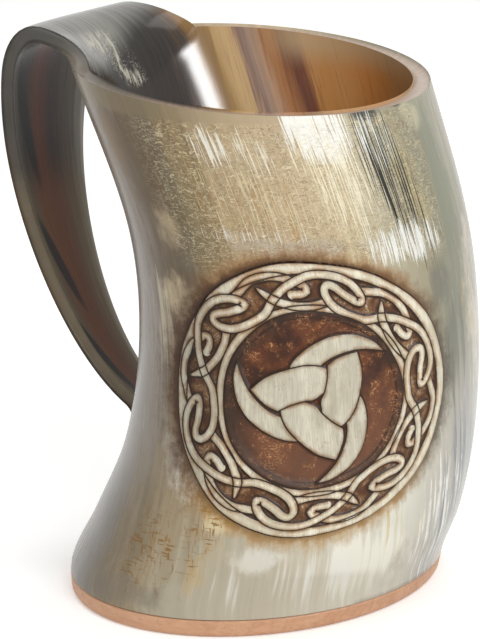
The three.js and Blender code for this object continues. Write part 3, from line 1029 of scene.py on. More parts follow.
class Paint(Field):
    """A colour over a surface. Painting on it adds nodes to its sheet."""

    def coat(self, other: Any, mask: Number, amount: float = 1.0) -> "Paint":
        """Lays another colour over this one.

        Args:
            other: The other colour.
            mask: Where it lies, from 0 to 1.
            amount: How far it covers there.

        Returns:
            The colour.
        """
        share = mask if amount == 1.0 else mask * amount
        node = self.sheet.add("ShaderNodeMix", {0: share, 6: self, 7: other}, data_type="RGBA")
        return Paint(self.sheet, node.outputs[2])

    def tone(self, shade: Number) -> "Paint":
        """This colour made darker or paler by a factor."""
        node = self.sheet.add("ShaderNodeVectorMath", {0: self, "Scale": shade}, operation="SCALE")
        return Paint(self.sheet, node.outputs[0])


class Place(Field):
    """Coordinates or a direction over a surface."""

    def parts(self) -> list[Number]:
        """The x, y and z."""
        node = self.sheet.add("ShaderNodeSeparateXYZ", {0: self})
        return [Number(self.sheet, part) for part in node.outputs]

    def noise(self, scale: Triple, shift: Triple = (0, 0, 0), detail: float = 3.0, rough: float = 0.55,
              warp: float = 0.0) -> Number:
        """Makes soft noise from 0 to 1.

        Args:
            scale: How fine the noise is along each axis.
            shift: Moves the noise.
            detail: How many finer layers it has.
            rough: How strong these are.
            warp: How far it is bent.

        Returns:
            The noise.
        """
        mapped = self.sheet.add("ShaderNodeMapping", {"Vector": self, "Scale": scale, "Location": shift})
        noise = self.sheet.add("ShaderNodeTexNoise", {
            "Vector": mapped.outputs[0], "Scale": 1.0, "Detail": detail, "Roughness": rough,
            "Distortion": warp,
        })
        return Number(self.sheet, noise.outputs["Fac"])


class MaterialSheet(NodeSheet):
    """The nodes of one material."""

    def __init__(self, name: str) -> None:
        """Starts a material with its shader.

        Args:
            name: The material's name.
        """
        self.material = bpy.data.materials.new(name)
        self.material.use_nodes = True
        super().__init__(self.material.node_tree)
        self.shader = self.tree.nodes["Principled BSDF"]

    def dress(self, **inputs: Any) -> bpy.types.Material:
        """Finishes the material.

        Args:
            inputs: Fields or plain values for the shader's sockets, with _ for a space in their names.

        Returns:
            The material.
        """
        for name, value in inputs.items():
            self.put(self.shader.inputs[name.replace("_", " ")], value)
        return self.material


class Pattern(Enum):
    """The noise by which a marking of the horn breaks up, with how softly its patches end."""

    HAIR = 0.05
    FINE = 0.09
    FIBRE = 0.1
    STREAK = 0.18
    CLOUD = 0.26
    PLAIN = 1.0


@dataclass(frozen=True)
class Marking:
    """A marking of the horn, placed in millimetres right of and above the medallion's centre.

    reach is how far a density of 1 lowers the noise level from which the marking shows.
    """

    name: str
    right: float
    up: float
    half_width: float
    half_height: float
    colour: Colour
    pattern: Pattern
    density: float = 1.0
    amount: float = 1.0
    soft: float = 0.8
    lean: float = 0.0
    reach: float = 0.46

    def mask(self, on: "HornSurface") -> Number:
        """Masks the marking.

        Args:
            on: The horn's surface.

        Returns:
            The mask, from 0 to the marking's amount.
        """
        inputs = (
            on.right, on.up, on.facing, on.patterns[self.pattern], self.right, self.up, self.half_width,
            self.half_height, self.lean, 1.0 + self.soft, 1.0 - self.soft,
            on.marking.empty - self.reach * self.density, self.pattern.value, self.amount,
        )
        group = on.marking.tree
        node = on.sheet.add("ShaderNodeGroup", dict(enumerate(inputs)), node_tree=group, label=self.name)
        return Number(on.sheet, node.outputs[0])


@dataclass(frozen=True)
class StrapStreak:
    """A dark lens-shaped streak on the strap, in millimetres along it and shares across it."""

    along: float
    across: float
    half_length: float
    half_width: float
    slope: float


@dataclass
class MarkingGroup:
    """The nodes that mask a marking: a leaning oval on the front of the wall, which noise breaks up.

    empty is the noise level that leaves nothing of a marking, front where markings fade out round the
    wall, and core where one is at its full strength.
    """

    inputs: tuple[str, ...] = (
        "Across", "Height", "Facing", "Noise", "Right", "Up", "Half Width", "Half Height", "Lean", "Outer",
        "Inner", "Low", "Edge", "Amount",
    )
    empty: float = 0.74
    front: Ends = (-0.4, 0.45)
    core: Ends = (0.0, 0.3)

    def __post_init__(self) -> None:
        """Builds the group, whose inputs come in the order of their names."""
        self.tree = bpy.data.node_groups.new("marking", "ShaderNodeTree")
        for name in self.inputs:
            self.tree.interface.new_socket(name, in_out="INPUT", socket_type="NodeSocketFloat")
        self.tree.interface.new_socket("Mask", in_out="OUTPUT", socket_type="NodeSocketFloat")
        sheet, sockets = NodeSheet(self.tree), self.tree.nodes.new("NodeGroupInput").outputs
        given = [Number(sheet, sockets[name]) for name in self.inputs]
        across, height, facing, noise, right, up, half_width, half_height, lean = given[:9]
        outer, inner, low, edge, amount = given[9:]
        up = height - up
        x, y = (across - right + up * lean) / half_width, up / half_height
        oval = (x * x + y * y).root().rise(outer, inner) * facing.rise(*self.front)
        low = oval.span(0.0, 1.0, self.empty, low)
        mask = noise.rise(low, low + edge) * oval.rise(*self.core) * amount
        sheet.put(self.tree.nodes.new("NodeGroupOutput").inputs[0], mask)


@dataclass(frozen=True)
class HornSurface:
    """What the horn's finishes read at a point: its place on the horn, and noises along the fibres.

    right, up and facing give the place on the front of the wall, in millimetres from the medallion's
    centre. along is the length along the strap in millimetres, across goes from -1 to 1 across it, and
    side is 0 on the outer skin and 1 on the inner one.
    """

    sheet: NodeSheet
    place: Place
    grain: Place
    right: Number
    up: Number
    facing: Number
    along: Number
    across: Number
    side: Number
    fine: Number
    fibre: Number
    streak: Number
    cloud: Number
    patterns: dict[Pattern, Number]
    pale_flakes: Number
    dark_flakes: Number
    marking: MarkingGroup

    @classmethod
    def read(cls, sheet: NodeSheet) -> "HornSurface":
        """Reads the mesh's grain, front and skin attributes and makes the noises.

        Args:
            sheet: The material's nodes.

        Returns:
            The surface.
        """
        grain = sheet.attribute("grain")
        hair = grain.noise((2.3, 2.3, 0.03), (3, 9, 4), detail=2, rough=0.5)
        fine = grain.noise((2.1, 2.1, 0.085), rough=0.6)
        fibre = grain.noise((1.0, 1.0, 0.06), detail=4, rough=0.65)
        streak = grain.noise((0.42, 0.42, 0.02), detail=4, rough=0.6)
        cloud = grain.noise((0.12, 0.12, 0.07), detail=6, rough=0.62)
        patterns = {
            Pattern.HAIR: hair, Pattern.FINE: fine, Pattern.FIBRE: fibre, Pattern.STREAK: streak,
            Pattern.CLOUD: cloud, Pattern.PLAIN: Number(sheet, ABOVE_NOISE),
        }
        front, skin = sheet.attribute("front").parts(), sheet.attribute("skin").parts()
        return cls(
            sheet, sheet.object_place(), grain, *front, *skin, fine, fibre, streak, cloud, patterns,
            *cls._flakes(grain), MarkingGroup(),
        )

    @staticmethod
    def _flakes(grain: Place) -> tuple[Number, Number]:
        """Makes the short curled flakes that scraping leaves, as broken contours of two noises.

        Args:
            grain: Place along the fibres.

        Returns:
            The pale flakes and the dark ones.
        """
        gaps = grain.noise((0.4, 0.4, 0.4), (7, 3, 5))
        coarse = grain.noise((0.2, 0.2, 0.62), detail=4, rough=0.6, warp=0.6)
        small = grain.noise((0.38, 0.38, 1.1), (2, 6, 1), rough=0.6, warp=0.6)

        def curls(noise: Number, level: float, low: float, high: float) -> Number:
            """Contours at one level, broken where the gaps are."""
            return noise.contour(level, 0.026, 0.006) * gaps.rise(low, high)

        pale = curls(coarse, 0.5, 0.42, 0.52).larger(curls(small, 0.52, 0.55, 0.45))
        dark = curls(coarse, 0.455, 0.42, 0.52).larger(curls(small, 0.47, 0.58, 0.46))
        return pale, dark


@dataclass(frozen=True)
class HornFace:
    """The finish of one face of the horn, laid on the horn's surface."""

    on: HornSurface


@dataclass(frozen=True)
class WallFinish(HornFace):
    """The wall's outer face: tones from side to side, markings, and a scraped zone above the medallion."""

    upper_tones: Stops = (
        (-50, "8f867e"), (-46, "82776a"), (-41, "6b5b48"), (-34, "6c6252"),
        (-27, "907d5d"), (-18, "b09b7a"), (0, "c1ac8b"), (14, "cdbc98"),
        (25, "b8b199"), (34, "a59c82"), (40, "949380"), (46, "a3a08c"),
        (50, "b4ab98"),
    )
    lower_tones: Stops = (
        (-50, "8e8882"), (-46, "857b6e"), (-40, "93846c"), (-33, "a08f73"),
        (-24, "b1a892"), (-10, "bfb6a1"), (0, "c8bea8"), (14, "dcd7c6"),
        (28, "e5e2d4"), (38, "c6c0b2"), (44, "b1aea7"), (50, "bfbab0"),
    )
    markings: tuple[Marking, ...] = (
        Marking("shoulder shade", -40, 58, 9, 16, "65543f", Pattern.CLOUD, 1.0, 0.7, 0.8, 0.2),
        Marking("shoulder fibres", -31, 48, 8, 22, "77735a", Pattern.FIBRE, 0.6, 0.7, 0.8, 0.25),
        Marking("upper left edge", -49, 34, 5, 40, "948a82", Pattern.CLOUD, 1.0, 0.7),
        Marking("golden fibres", -8, 50, 22, 15, "ae8650", Pattern.FIBRE, 0.54, 0.6, 0.8, 0.25),
        Marking("olive fibres", 31, 56, 8, 18, "7d7a64", Pattern.FIBRE, 0.6, 0.75, 0.7, 0.15),
        Marking("shade beside ring", 36, 26, 5, 10, "6f6e66", Pattern.CLOUD, 0.9, 0.6, 0.9),
        Marking("dark nick at rim", 26, 73.0, 5, 1.8, "4b4b45", Pattern.CLOUD, 1.0, 0.9, 0.5),
        Marking("grey nick at rim", 36, 74.2, 5, 1.5, "5c5950", Pattern.CLOUD, 1.0, 0.9, 0.5),
        Marking("pale chip at rim", 39.5, 70, 3.4, 5, "c9c3a6", Pattern.CLOUD, 1.0, 0.85, 0.5, 0.1),
        Marking("right flank", 43, 44, 4, 34, "8f8f7c", Pattern.CLOUD, 1.0, 0.9),
        Marking("flank streaks", 41, 12, 4, 20, "6b6a63", Pattern.STREAK, 0.8, 0.6),
        Marking("slate streaks", 44, -32, 8, 26, "777b80", Pattern.STREAK, 0.7, 0.8),
        Marking("white fibres", 40, -40, 9, 22, "f6f5ef", Pattern.FIBRE, 0.56, 0.9),
        Marking("cream streaks", 22, -47, 15, 11, "f3efe0", Pattern.STREAK, 0.9, 0.85),
        Marking("straw fibres", 30, -38, 10, 10, "d2bf86", Pattern.FIBRE, 0.5, 0.6),
        Marking("tan cloud", 36, -50, 8, 8, "a59a83", Pattern.CLOUD, 0.8, 0.6),
        Marking("foot band", 0, -57, 24, 6, "bdb4a0", Pattern.PLAIN, 1.0, 0.5),
        Marking("foot streaks", 8, -50, 26, 10, "eceae3", Pattern.STREAK, 0.62, 0.6, 0.9),
        Marking("amber cloud", -20, -46, 14, 10, "c9a665", Pattern.CLOUD, 0.72, 0.5, 0.9),
        Marking("lilac band", -3, 41, 24, 3, "b9ac9b", Pattern.CLOUD, 1.0, 0.8),
        Marking("right edge", 48, 18, 4, 28, "d3c9b7", Pattern.CLOUD, 1.0, 0.9),
        Marking("root shade", -47, 60, 5, 14, "7d664a", Pattern.CLOUD, 1.0, 0.8, 0.9),
        Marking("lower left shade", -42, -40, 9, 22, "7c6d53", Pattern.CLOUD, 0.9, 0.6),
        Marking("lower left edge", -49, -45, 4, 28, "7c7974", Pattern.CLOUD, 1.0, 0.7),
        Marking("waist edge", -46, 0, 6, 34, "928a80", Pattern.CLOUD, 1.0, 0.7),
        Marking("straw patch", -38, 26, 6, 8, "c4b394", Pattern.CLOUD, 1.0, 0.8),
        Marking("waist streaks", -42, 16, 4, 17, "d6cab0", Pattern.STREAK, 0.85, 0.6),
        Marking("tan patch", -38, 42, 4, 8, "b7a586", Pattern.CLOUD, 1.0, 0.7, 0.9),
        Marking("pale patch", -36, -18, 7, 12, "d2cec3", Pattern.CLOUD, 0.85, 0.6, 0.9),
        Marking("amber patch", -28, -37, 10, 12, "b08747", Pattern.CLOUD, 0.85, 0.65, 0.9),
        Marking("white patch", -32, -25, 6, 7, "efeadd", Pattern.CLOUD, 0.95, 0.7, 0.9),
        Marking("foot shade", -36, -56, 12, 6, "7d7466", Pattern.CLOUD, 1.0, 0.6, 0.9),
        Marking("white cloud", -8, -43, 10, 5, "e8e5da", Pattern.CLOUD, 0.95, 0.7, 0.9),
        Marking("cream patch", -22, -33, 6, 4, "e2d3ab", Pattern.CLOUD, 0.95, 0.7, 0.9),
    )
    hairs: tuple[Marking, ...] = (
        Marking("cream hairs", -8, 54, 22, 14, "e6d7b0", Pattern.FINE, 0.5, 0.7, 0.8, 0.25),
        Marking("white wisps", -19, 67, 6, 6, "f3efe2", Pattern.FINE, 0.64, 0.9, 0.7, 0.3),
        Marking("cream wisps", -8, 65, 7, 7, "eee6d0", Pattern.FINE, 0.55, 0.8, 0.7, 0.3),
        Marking("white blaze", 12, 70, 10, 11, "f7f5ec", Pattern.FINE, 0.84, 1.0, 0.6, 0.2),
        Marking("straw hairs", 14, 57, 12, 16, "f4eacd", Pattern.FINE, 0.6, 0.9, 0.8, 0.2),
        Marking("cold hairs", 27, 66, 7, 8, "eef0ea", Pattern.FINE, 0.6, 0.95, 0.7, 0.15),
        Marking("olive hairs", 34, 52, 5, 20, "cdb983", Pattern.FINE, 0.5, 0.7, 0.7, 0.1),
        Marking("black hairs", 29, 56, 7, 19, "23241f", Pattern.HAIR, 0.58, 1.0, 0.7, 0.15),
        Marking("white tufts", 28, 39.5, 12, 6, "f4f4ee", Pattern.FINE, 0.72, 0.95, 0.8, 0.1),
        Marking("golden flecks", 46, 18, 4, 14, "c0a67c", Pattern.CLOUD, 0.6, 0.7, 0.7),
        Marking("pale border", -14, 44, 16, 2.5, "e9e6de", Pattern.FINE, 0.52, 0.8, 0.8, 0.2),
    )
    dashes: Marking = Marking(
        "dashes", -31, -39, 12, 19, "85602c", Pattern.CLOUD, 0.96, 0.85, 0.5, -0.2
    )
    flake: Colour = "efe0b8"
    flake_shade: Colour = "7a5c38"
    polish: Colour = "b5a284"
    polish_left: Colour = "85775d"
    polish_right: Colour = "a8a38f"
    tone_change: Ends = (-22.0, 22.0)
    border: Ends = (72.0, 73.2)
    scraped_foot: Ends = (32.0, 40.0)
    scraped_top: Ends = (73.5, 71.5)
    scraped_left: Ends = (-42.0, -30.0)
    scraped_right: Ends = (41.0, 39.0)

    def scraped(self) -> Number:
        """Masks the scraped zone, with a ragged edge.

        Returns:
            1 in the zone and 0 outside it.
        """
        on = self.on
        ragged = on.cloud.drift(14.0)
        right = on.right + ragged * 0.3
        zone = (on.up + ragged).rise(*self.scraped_foot) * on.up.rise(*self.scraped_top)
        zone = zone * right.rise(*self.scraped_right) * right.rise(*self.scraped_left)
        return zone * on.facing.rise(0.0, 0.2)

    def colour(self, scraped: Number) -> Paint:
        """Colours the wall, from its tones up to the scratches.

        Args:
            scraped: The scraped zone's mask.

        Returns:
            The colour.
        """
        on = self.on
        grit = on.place.noise((1100, 1100, 1500), detail=4, rough=0.7)
        colour = self._border(self._tones()).tone(grit.drift(1.1) * scraped + 1.0)
        for marking in self.markings:
            colour = colour.coat(marking.colour, marking.mask(on))
        colour = (
            colour.coat(self.flake_shade, on.fine.rise(0.54, 0.66) * scraped, 0.45)
            .coat(self.flake_shade, on.dark_flakes * scraped, 0.5)
            .coat(self.flake, on.pale_flakes * scraped, 0.6)
        )
        for marking in self.hairs:
            colour = colour.coat(marking.colour, marking.mask(on))
        level = on.place.noise((260, 260, 1700), detail=1).rise(0.58, 0.64)
        upright = on.place.noise((1600, 1600, 240), detail=1).rise(0.59, 0.65)
        dashes = level.larger(upright) * self.dashes.mask(on)
        return colour.coat(self.dashes.colour, dashes)

    def _tones(self) -> Paint:
        """Lays the tones from side to side, swayed and shaded by the fibres.

        Returns:
            The colour.
        """
        on = self.on
        sway = on.streak.drift(16.0)
        right, share = on.right + sway, (on.up + sway).rise(*self.tone_change)
        colour = right.ramp(self.lower_tones).coat(right.ramp(self.upper_tones), share)
        return colour.tone(on.fibre.vary(-0.06, 0.06) + on.streak.vary(0.92, 1.08))

    def _border(self, wall: Paint) -> Paint:
        """Lays the smooth polished border under the rim.

        Args:
            wall: The wall's colour.

        Returns:
            That colour with the border.
        """
        on = self.on
        polish = on.sheet.plain(self.polish).coat(self.polish_right, on.right.rise(5.0, 38.0))
        polish = polish.coat(self.polish_left, on.right.rise(-6.0, -34.0))
        border = (on.up + on.fibre.vary(-1.0, 1.0)).rise(*self.border)
        return wall.coat(polish, border * on.facing.rise(0.0, 0.3), 0.75)


@dataclass(frozen=True)
class CarvedSurface:
    """What the carving's finish reads at a point, in millimetres, with blots and curled scratches.

    line is the distance to the nearest cut line, ground how far into the cut-away ground the point is,
    beyond how far outside the ring, and disc how far into the disc.
    """

    line: Number
    ground: Number
    beyond: Number
    disc: Number
    mottle: Number
    curls: Number

    @classmethod
    def read(cls, on: HornSurface) -> "CarvedSurface":
        """Reads the mesh's carve and disc attributes and makes the noises.

        Args:
            on: The horn's surface.

        Returns:
            The carving's surface.
        """
        mottle = on.place.noise((230, 230, 230), detail=6, rough=0.7)
        curls = on.place.noise((420, 420, 420), detail=2, warp=1.0).contour(0.5, 0.022, 0.006)
        carve, disc = on.sheet.attribute("carve").parts(), on.sheet.number("disc")
        return cls(*carve, disc, mottle, curls * mottle.rise(0.52, 0.62))


@dataclass(frozen=True)
class CarvingFinish(HornFace):
    """The stained carving, with painted shade and painted light: pale raised work, brown ground, dark cut
    lines and a brown halo outside.
    """

    cut: CarvedSurface
    line: Colour = "2b1a10"
    raised: Colour = "f1ead4"
    raised_scratch: Colour = "b1a58a"
    raised_stain: Colour = "b07c47"
    # Burnt stain that also serves as painted shade at the strands' edges.
    raised_burnt_and_shade: Colour = "8a6540"
    raised_worn: Colour = "bcb095"
    ring_ground: Colour = "573621"
    ring_ground_pale: Colour = "8d6845"
    disc_deep: Colour = "351e15"
    disc_mid: Colour = "683c24"
    disc_bright: Colour = "8f562b"
    # Painted light: the paler tone of the disc's lower part.
    disc_painted_light: Colour = "7e563f"
    disc_scratch: Colour = "c4946a"
    # Painted shade along the inside of the disc's rim.
    disc_rim_shade: Colour = "33281f"
    disc_scored_at: float = 1.8
    halo_cut: Colour = "3a2110"
    # Stain tone with painted shade, for the halo's left side.
    halo_left_shaded: Colour = "5f452f"
    halo_top: Colour = "9a6f42"
    halo_low: Colour = "b48a4c"
    halo_right: Colour = "6b6458"
    line_edge: Ends = (0.30, 0.12)
    outline_edge: Ends = (0.42, 0.12)
    ground_edge: Ends = (-0.02, 0.16)
    # Reach of the painted shade on the ground beside the raised work.
    shadow_reach: Ends = (0.9, 0.1)
    stain_reach: Ends = (1.5, 0.1)
    burnt_and_shade_reach: Ends = (0.95, 0.2)

    def colour(self, wall: Paint) -> tuple[Paint, Number]:
        """Stains the carving and the wall round it, with painted shade that darkens the carving towards its
        left.

        Args:
            wall: The wall's colour.

        Returns:
            The wall's colour with the carving, and the carving's mask.
        """
        cut = self.cut
        carved = (
            self._raised()
            .coat(self._ground(), cut.ground.rise(*self.ground_edge))
            .coat(self.line, cut.line.rise(*self.line_edge))
            # Painted shade: the whole carving is darkened towards its left side.
            .tone(self.on.right.span(-37.0, -20.0, 0.55, 1.0))
        )
        within = cut.beyond.rise(0.05, -0.05)
        colour = self._halo(wall).coat(carved, within)
        return colour.coat(self.line, abs(cut.beyond).rise(*self.outline_edge)), within

    def _raised(self) -> Paint:
        """Colours the raised work: scratched, stained near the cut lines, browned along them by a burnt stain
        that is also painted shade rounding the strands, and darker on the horns.

        Returns:
            The colour.
        """
        on, cut = self.on, self.cut
        scratch = on.grain.noise((3.6, 3.6, 0.22), rough=0.6)
        return (
            on.sheet.plain(self.raised)
            .coat(self.raised_scratch, scratch.rise(0.46, 0.66), 0.42)
            .tone(on.streak.vary(0.82, 1.1))
            .coat(self.raised_stain, cut.curls, 0.35)
            .coat(self.raised_stain, cut.line.rise(*self.stain_reach) * cut.mottle.rise(0.38, 0.58), 0.75)
            # Burnt stain and painted shade: a brown edge along each cut line, so that the strands look
            # rounded.
            .coat(self.raised_burnt_and_shade, cut.line.rise(*self.burnt_and_shade_reach) * cut.mottle.blot(0.3, 0.75))
            .coat(self.raised_worn, on.cloud.rise(0.46, 0.66), 0.5)
            .tone(cut.disc.span(-1.0, 1.0, 1.0, 0.78))
        )

    def _ground(self) -> Paint:
        """Colours the cut-away ground of the disc and of the ring, with painted shade beside the raised work.

        Returns:
            The colour.
        """
        on, cut = self.on, self.cut
        ring = on.sheet.plain(self.ring_ground).coat(self.ring_ground_pale, cut.mottle.rise(0.42, 0.62))
        ground = self._disc().coat(ring.coat(self.raised, cut.curls, 0.6), cut.disc.rise(0.3, -0.3))
        # Painted shade: the ground is darkened beside the raised work.
        return ground.coat(self.line, cut.ground.rise(*self.shadow_reach), 0.75)

    def _disc(self) -> Paint:
        """Colours the disc: blotched, with painted light that makes it paler low down, painted shade along
        its rim that is wider on its left, a scored line and scratches.

        Returns:
            The colour.
        """
        on, cut = self.on, self.cut
        blotch = on.place.noise((75, 75, 75), (4, 1, 8), detail=5, rough=0.6)
        # Painted shade: a dark band inside the disc's rim, wider on the left.
        rim = cut.disc.rise(on.right.span(-20.0, 4.0, 6.5, 3.6), 0.4)
        scored = cut.disc.contour(self.disc_scored_at, 0.4, 0.1)
        strokes = on.place.noise((330, 330, 620), (5, 2, 3), detail=2, warp=1.4).contour(0.5, 0.02, 0.005)
        return (
            on.sheet.plain(self.disc_deep)
            .coat(self.disc_mid, blotch.rise(0.36, 0.58))
            .coat(self.disc_bright, cut.mottle.rise(0.5, 0.68), 0.6)
            # Painted light: the disc is made paler towards its bottom.
            .coat(self.disc_painted_light, on.up.span(10.0, -16.0, 0.0, 0.6))
            .coat(self.disc_rim_shade, rim * cut.mottle.blot(0.9, 0.5))
            .coat(self.line, scored * blotch.rise(0.42, 0.5), 0.7)
            .coat(self.disc_scratch, (strokes * blotch.rise(0.50, 0.60)).larger(cut.curls), 0.8)
        )

    def _halo(self, wall: Paint) -> Paint:
        """Stains the wall round the medallion: golden below, grey on its right, and dark on its left, where
        painted shade widens and darkens the stain.

        Args:
            wall: The wall's colour.

        Returns:
            The wall's colour with the halo.
        """
        on, cut = self.on, self.cut
        tone = (
            on.sheet.plain(self.halo_low)
            .coat(self.halo_top, on.up.rise(-24.0, 30.0))
            .coat(self.halo_left_shaded, on.right.rise(-24.0, -38.0))
            .coat(self.halo_right, on.right.rise(24.0, 38.0))
        )
        # Stain with painted shade: on the left the halo reaches further and its dark edge is wider; the dark
        # edge is strongest on the left and at the top.
        reach = (cut.mottle + on.fibre).span(0.75, 1.25, 3.0, 9.0) * on.right.span(-36.0, -24.0, 1.7, 1.0)
        burn = cut.mottle.blot(1.2, 4.2) * on.right.span(-36.0, -20.0, 1.6, 1.0)
        side = on.right.span(-34.0, 34.0, 1.0, 0.5) * on.up.span(-38.0, 10.0, 0.5, 1.0)
        colour = wall.coat(tone, cut.beyond.rise(reach, 0.0) * cut.mottle.blot(0.75, 1.0))
        return colour.coat(self.halo_cut, cut.beyond.rise(burn, 0.1) * side)


@dataclass(frozen=True)
class StrapFinish(HornFace):
    """The strap's gap side: red-brown between black streaks, with paler edges."""

    upper: Stops = (
        (-1.0, "5d5952"), (-0.85, "38322c"), (-0.62, "281f1a"), (-0.42, "5a2d18"),
        (-0.28, "582a16"), (-0.05, "33211a"), (0.12, "352822"), (0.35, "50443a"),
        (0.6, "5f574d"), (0.8, "85837c"), (1.0, "b5b3ad"),
    )
    lower: Stops = (
        (-1.0, "70654f"), (-0.8, "5f5340"), (-0.5, "6a4023"), (0.0, "663b20"),
        (0.3, "644b35"), (0.6, "6f5f4a"), (0.85, "8a8272"), (1.0, "aba79c"),
    )
    streaks: tuple[StrapStreak, ...] = (
        StrapStreak(55, -0.66, 20, 0.14, 0.010),
        StrapStreak(97, -0.58, 15, 0.17, 0.018),
        StrapStreak(127, -0.78, 15, 0.22, 0.020),
    )
    black: Colour = "0e0a09"
    change: Ends = (62.0, 82.0)

    def colour(self) -> Paint:
        """Colours the strap's gap side.

        Returns:
            The colour.
        """
        on = self.on
        across = on.across + on.streak.drift(0.5)
        colour = across.ramp(self.upper).coat(across.ramp(self.lower), on.along.rise(*self.change))
        colour = colour.tone(on.fibre.vary(0.85, 1.15))
        for lens in self.streaks:
            along = on.along - lens.along
            x = (on.across - (along * lens.slope + lens.across)) / lens.half_width
            y = along / lens.half_length
            colour = colour.coat(self.black, (x * x + y * y).rise(1.4, 0.3), 0.92)
        return colour


@dataclass(frozen=True)
class InsideFinish(HornFace):
    """The inner skin: the amber inside of the wall, the dark root and the strap's grey outside face."""

    tones: Stops = (
        (-50, "35302c"), (-24, "3c3733"), (-19, "4e4238"), (-15, "8a6a42"),
        (-11, "9c7a4a"), (-6, "c19a58"), (-3, "bb9355"), (0, "754a32"),
        (2, "8b6a50"), (5, "ad8157"), (9, "b1794a"), (12, "8f5c3a"),
        (14.5, "6e4030"), (17, "8a5637"), (20, "c58c52"), (28, "cc9156"),
        (36, "cf8a4c"), (42, "c58247"), (46, "b98a5a"), (50, "b08a60"),
    )
    shade: Colour = "6a3f26"
    brim: Colour = "c9ab84"
    strap: Stops = (
        (-1.0, "54524d"), (-0.8, "63625c"), (-0.15, "86857d"), (0.5, "73716b"),
        (1.0, "67655f"),
    )
    strap_pale: Colour = "9a9893"
    strap_deep: Colour = "57544e"
    strap_brown: Colour = "6a4f3a"
    charcoal: Colour = "332f2b"
    scar: Colour = "cfcab8"
    brim_up: Ends = (68.0, 77.0)
    brim_right: Ends = (4.0, 18.0)
    past_crest: Ends = (21.0, 32.0)

    def colour(self) -> Paint:
        """Colours the inner skin, from the wall over the root to the strap."""
        far = self.on.across.rise(0.35, 0.95) * self.on.along.rise(22.0, 8.0)
        return self._bore().coat(self._root(self._strap()), self.on.along.rise(0.0, 3.0) * (1.0 - far))

    def _bore(self) -> Paint:
        """Colours the inside of the wall in upright amber and brown bands.

        Returns:
            The colour.
        """
        on = self.on
        return (
            (on.right + (on.streak.drift(9.0) + on.fibre.drift(7.0))).ramp(self.tones)
            .coat(self.shade, on.fibre.rise(0.5, 0.7), 0.35)
            .coat(self.brim, on.up.rise(*self.brim_up) * on.right.rise(*self.brim_right), 0.75)
        )

    def _strap(self) -> Paint:
        """Colours the strap's outside face in greys, with brown streaks past the crest.

        Returns:
            The colour.
        """
        on = self.on
        past = on.along.rise(*self.past_crest)
        return (
            (on.across + on.streak.drift(2.4)).ramp(self.strap)
            .coat(self.strap_pale, on.along.rise(19.0, 14.0) * on.across.rise(0.0, -0.4), 0.7)
            .coat(self.strap_deep, past, 0.5)
            .coat(self.strap_brown, past * on.streak.rise(0.48, 0.64), 0.8)
            .tone(on.fibre.vary(0.8, 1.2))
        )

    def _root(self, strap: Paint) -> Paint:
        """Darkens the root of the strap and tears it with pale marks along a crease.

        Args:
            strap: The strap's colour.

        Returns:
            That colour with the root.
        """
        on = self.on
        dark_end = on.across.span(-0.6, 0.3, 4.0, 16.0) + on.streak.drift(5.4)
        dark = on.sheet.plain(self.charcoal).tone(on.fibre.vary(0.75, 1.3))
        apart = abs(on.across - (on.along.span(0.0, 18.0, 0.08, -0.45) + on.cloud.vary(-0.3, 0.3)))
        crease = apart.rise(0.11, 0.02) * on.fibre.rise(0.40, 0.52)
        torn = apart.rise(0.3, 0.1) * (on.pale_flakes * 0.6)
        reach = on.along.rise(0.5, 2.5) * on.along.rise(18.0, 14.0)
        colour = strap.coat(dark, (on.along - dark_end).rise(4.5, -3.0))
        return colour.coat(self.scar, crease.larger(torn) * reach, 0.8)


@dataclass(frozen=True)
class EdgeFinish(HornFace):
    """The polished rim and the strap's edges, between the outer and the inner skin."""

    rim: Colour = "c4b1a2"
    rim_shade: Colour = "a08d7c"
    rim_root: Colour = "7b7264"
    strap_upper: Colour = "57534d"
    strap_lower: Colour = "7f725d"
    strap_far: Colour = "9a9893"

    def colour(self, skins: Paint) -> Paint:
        """Colours the edges.

        Args:
            skins: The colour of the outer and the inner skin.

        Returns:
            That colour with the edges.
        """
        on = self.on
        rim = on.sheet.plain(self.rim).coat(self.rim_shade, on.side.rise(0.3, 0.9))
        rim = rim.coat(self.rim_root, on.right.rise(-22.0, -46.0))
        strap = on.sheet.plain(self.strap_upper).coat(self.strap_lower, on.along.rise(66.0, 80.0))
        strap = strap.coat(self.strap_far, on.across.rise(-0.5, 0.5))
        edge = rim.coat(strap, on.along.rise(4.0, 26.0)).tone(on.fibre.vary(0.9, 1.1))
        return skins.coat(edge, on.side.contour(0.5, 0.49, 0.30), 0.85)


@dataclass(frozen=True)
class HornFinish:
    """Polished horn, streaked along its fibres: the finishes of all its faces together."""

    strap_start: Ends = (0.0, 16.0)
    polished_rough: float = 0.24
    scraped_rough: float = 0.46
    carved_rough: float = 0.42
    inside_gloss: float = 0.6
    hair_bump: float = 0.10 * MM
    flake_bump: float = 0.12 * MM

    def material(self) -> bpy.types.Material:
        """Builds the material from the mesh's attributes.

        Returns:
            The material.
        """
        sheet = MaterialSheet("horn")
        on = HornSurface.read(sheet)
        face = WallFinish(on)
        scraped = face.scraped()
        wall, carved = CarvingFinish(on, CarvedSurface.read(on)).colour(face.colour(scraped))
        outer = wall.coat(StrapFinish(on).colour(), on.along.rise(*self.strap_start))
        skins = outer.coat(InsideFinish(on).colour(), on.side.rise(0.35, 0.65))
        scraped = scraped * on.side.rise(0.3, 0.1)
        rough = scraped.span(0.0, 1.0, self.polished_rough, self.scraped_rough)
        rough = rough.larger(carved.span(0.0, 1.0, 0.0, self.carved_rough)) + on.fibre.vary(-0.05, 0.05)
        rough = rough * on.side.span(0.4, 0.6, 1.0, self.inside_gloss)
        normal = on.fine.bump(self.hair_bump, scraped.span(0.0, 1.0, 0.1, 0.5))
        normal = on.pale_flakes.bump(self.flake_bump, scraped * 0.6, normal)
        return sheet.dress(
            Base_Color=EdgeFinish(on).colour(skins), Roughness=rough, Normal=normal, IOR=1.54,
            Specular_IOR_Level=0.2,
        )


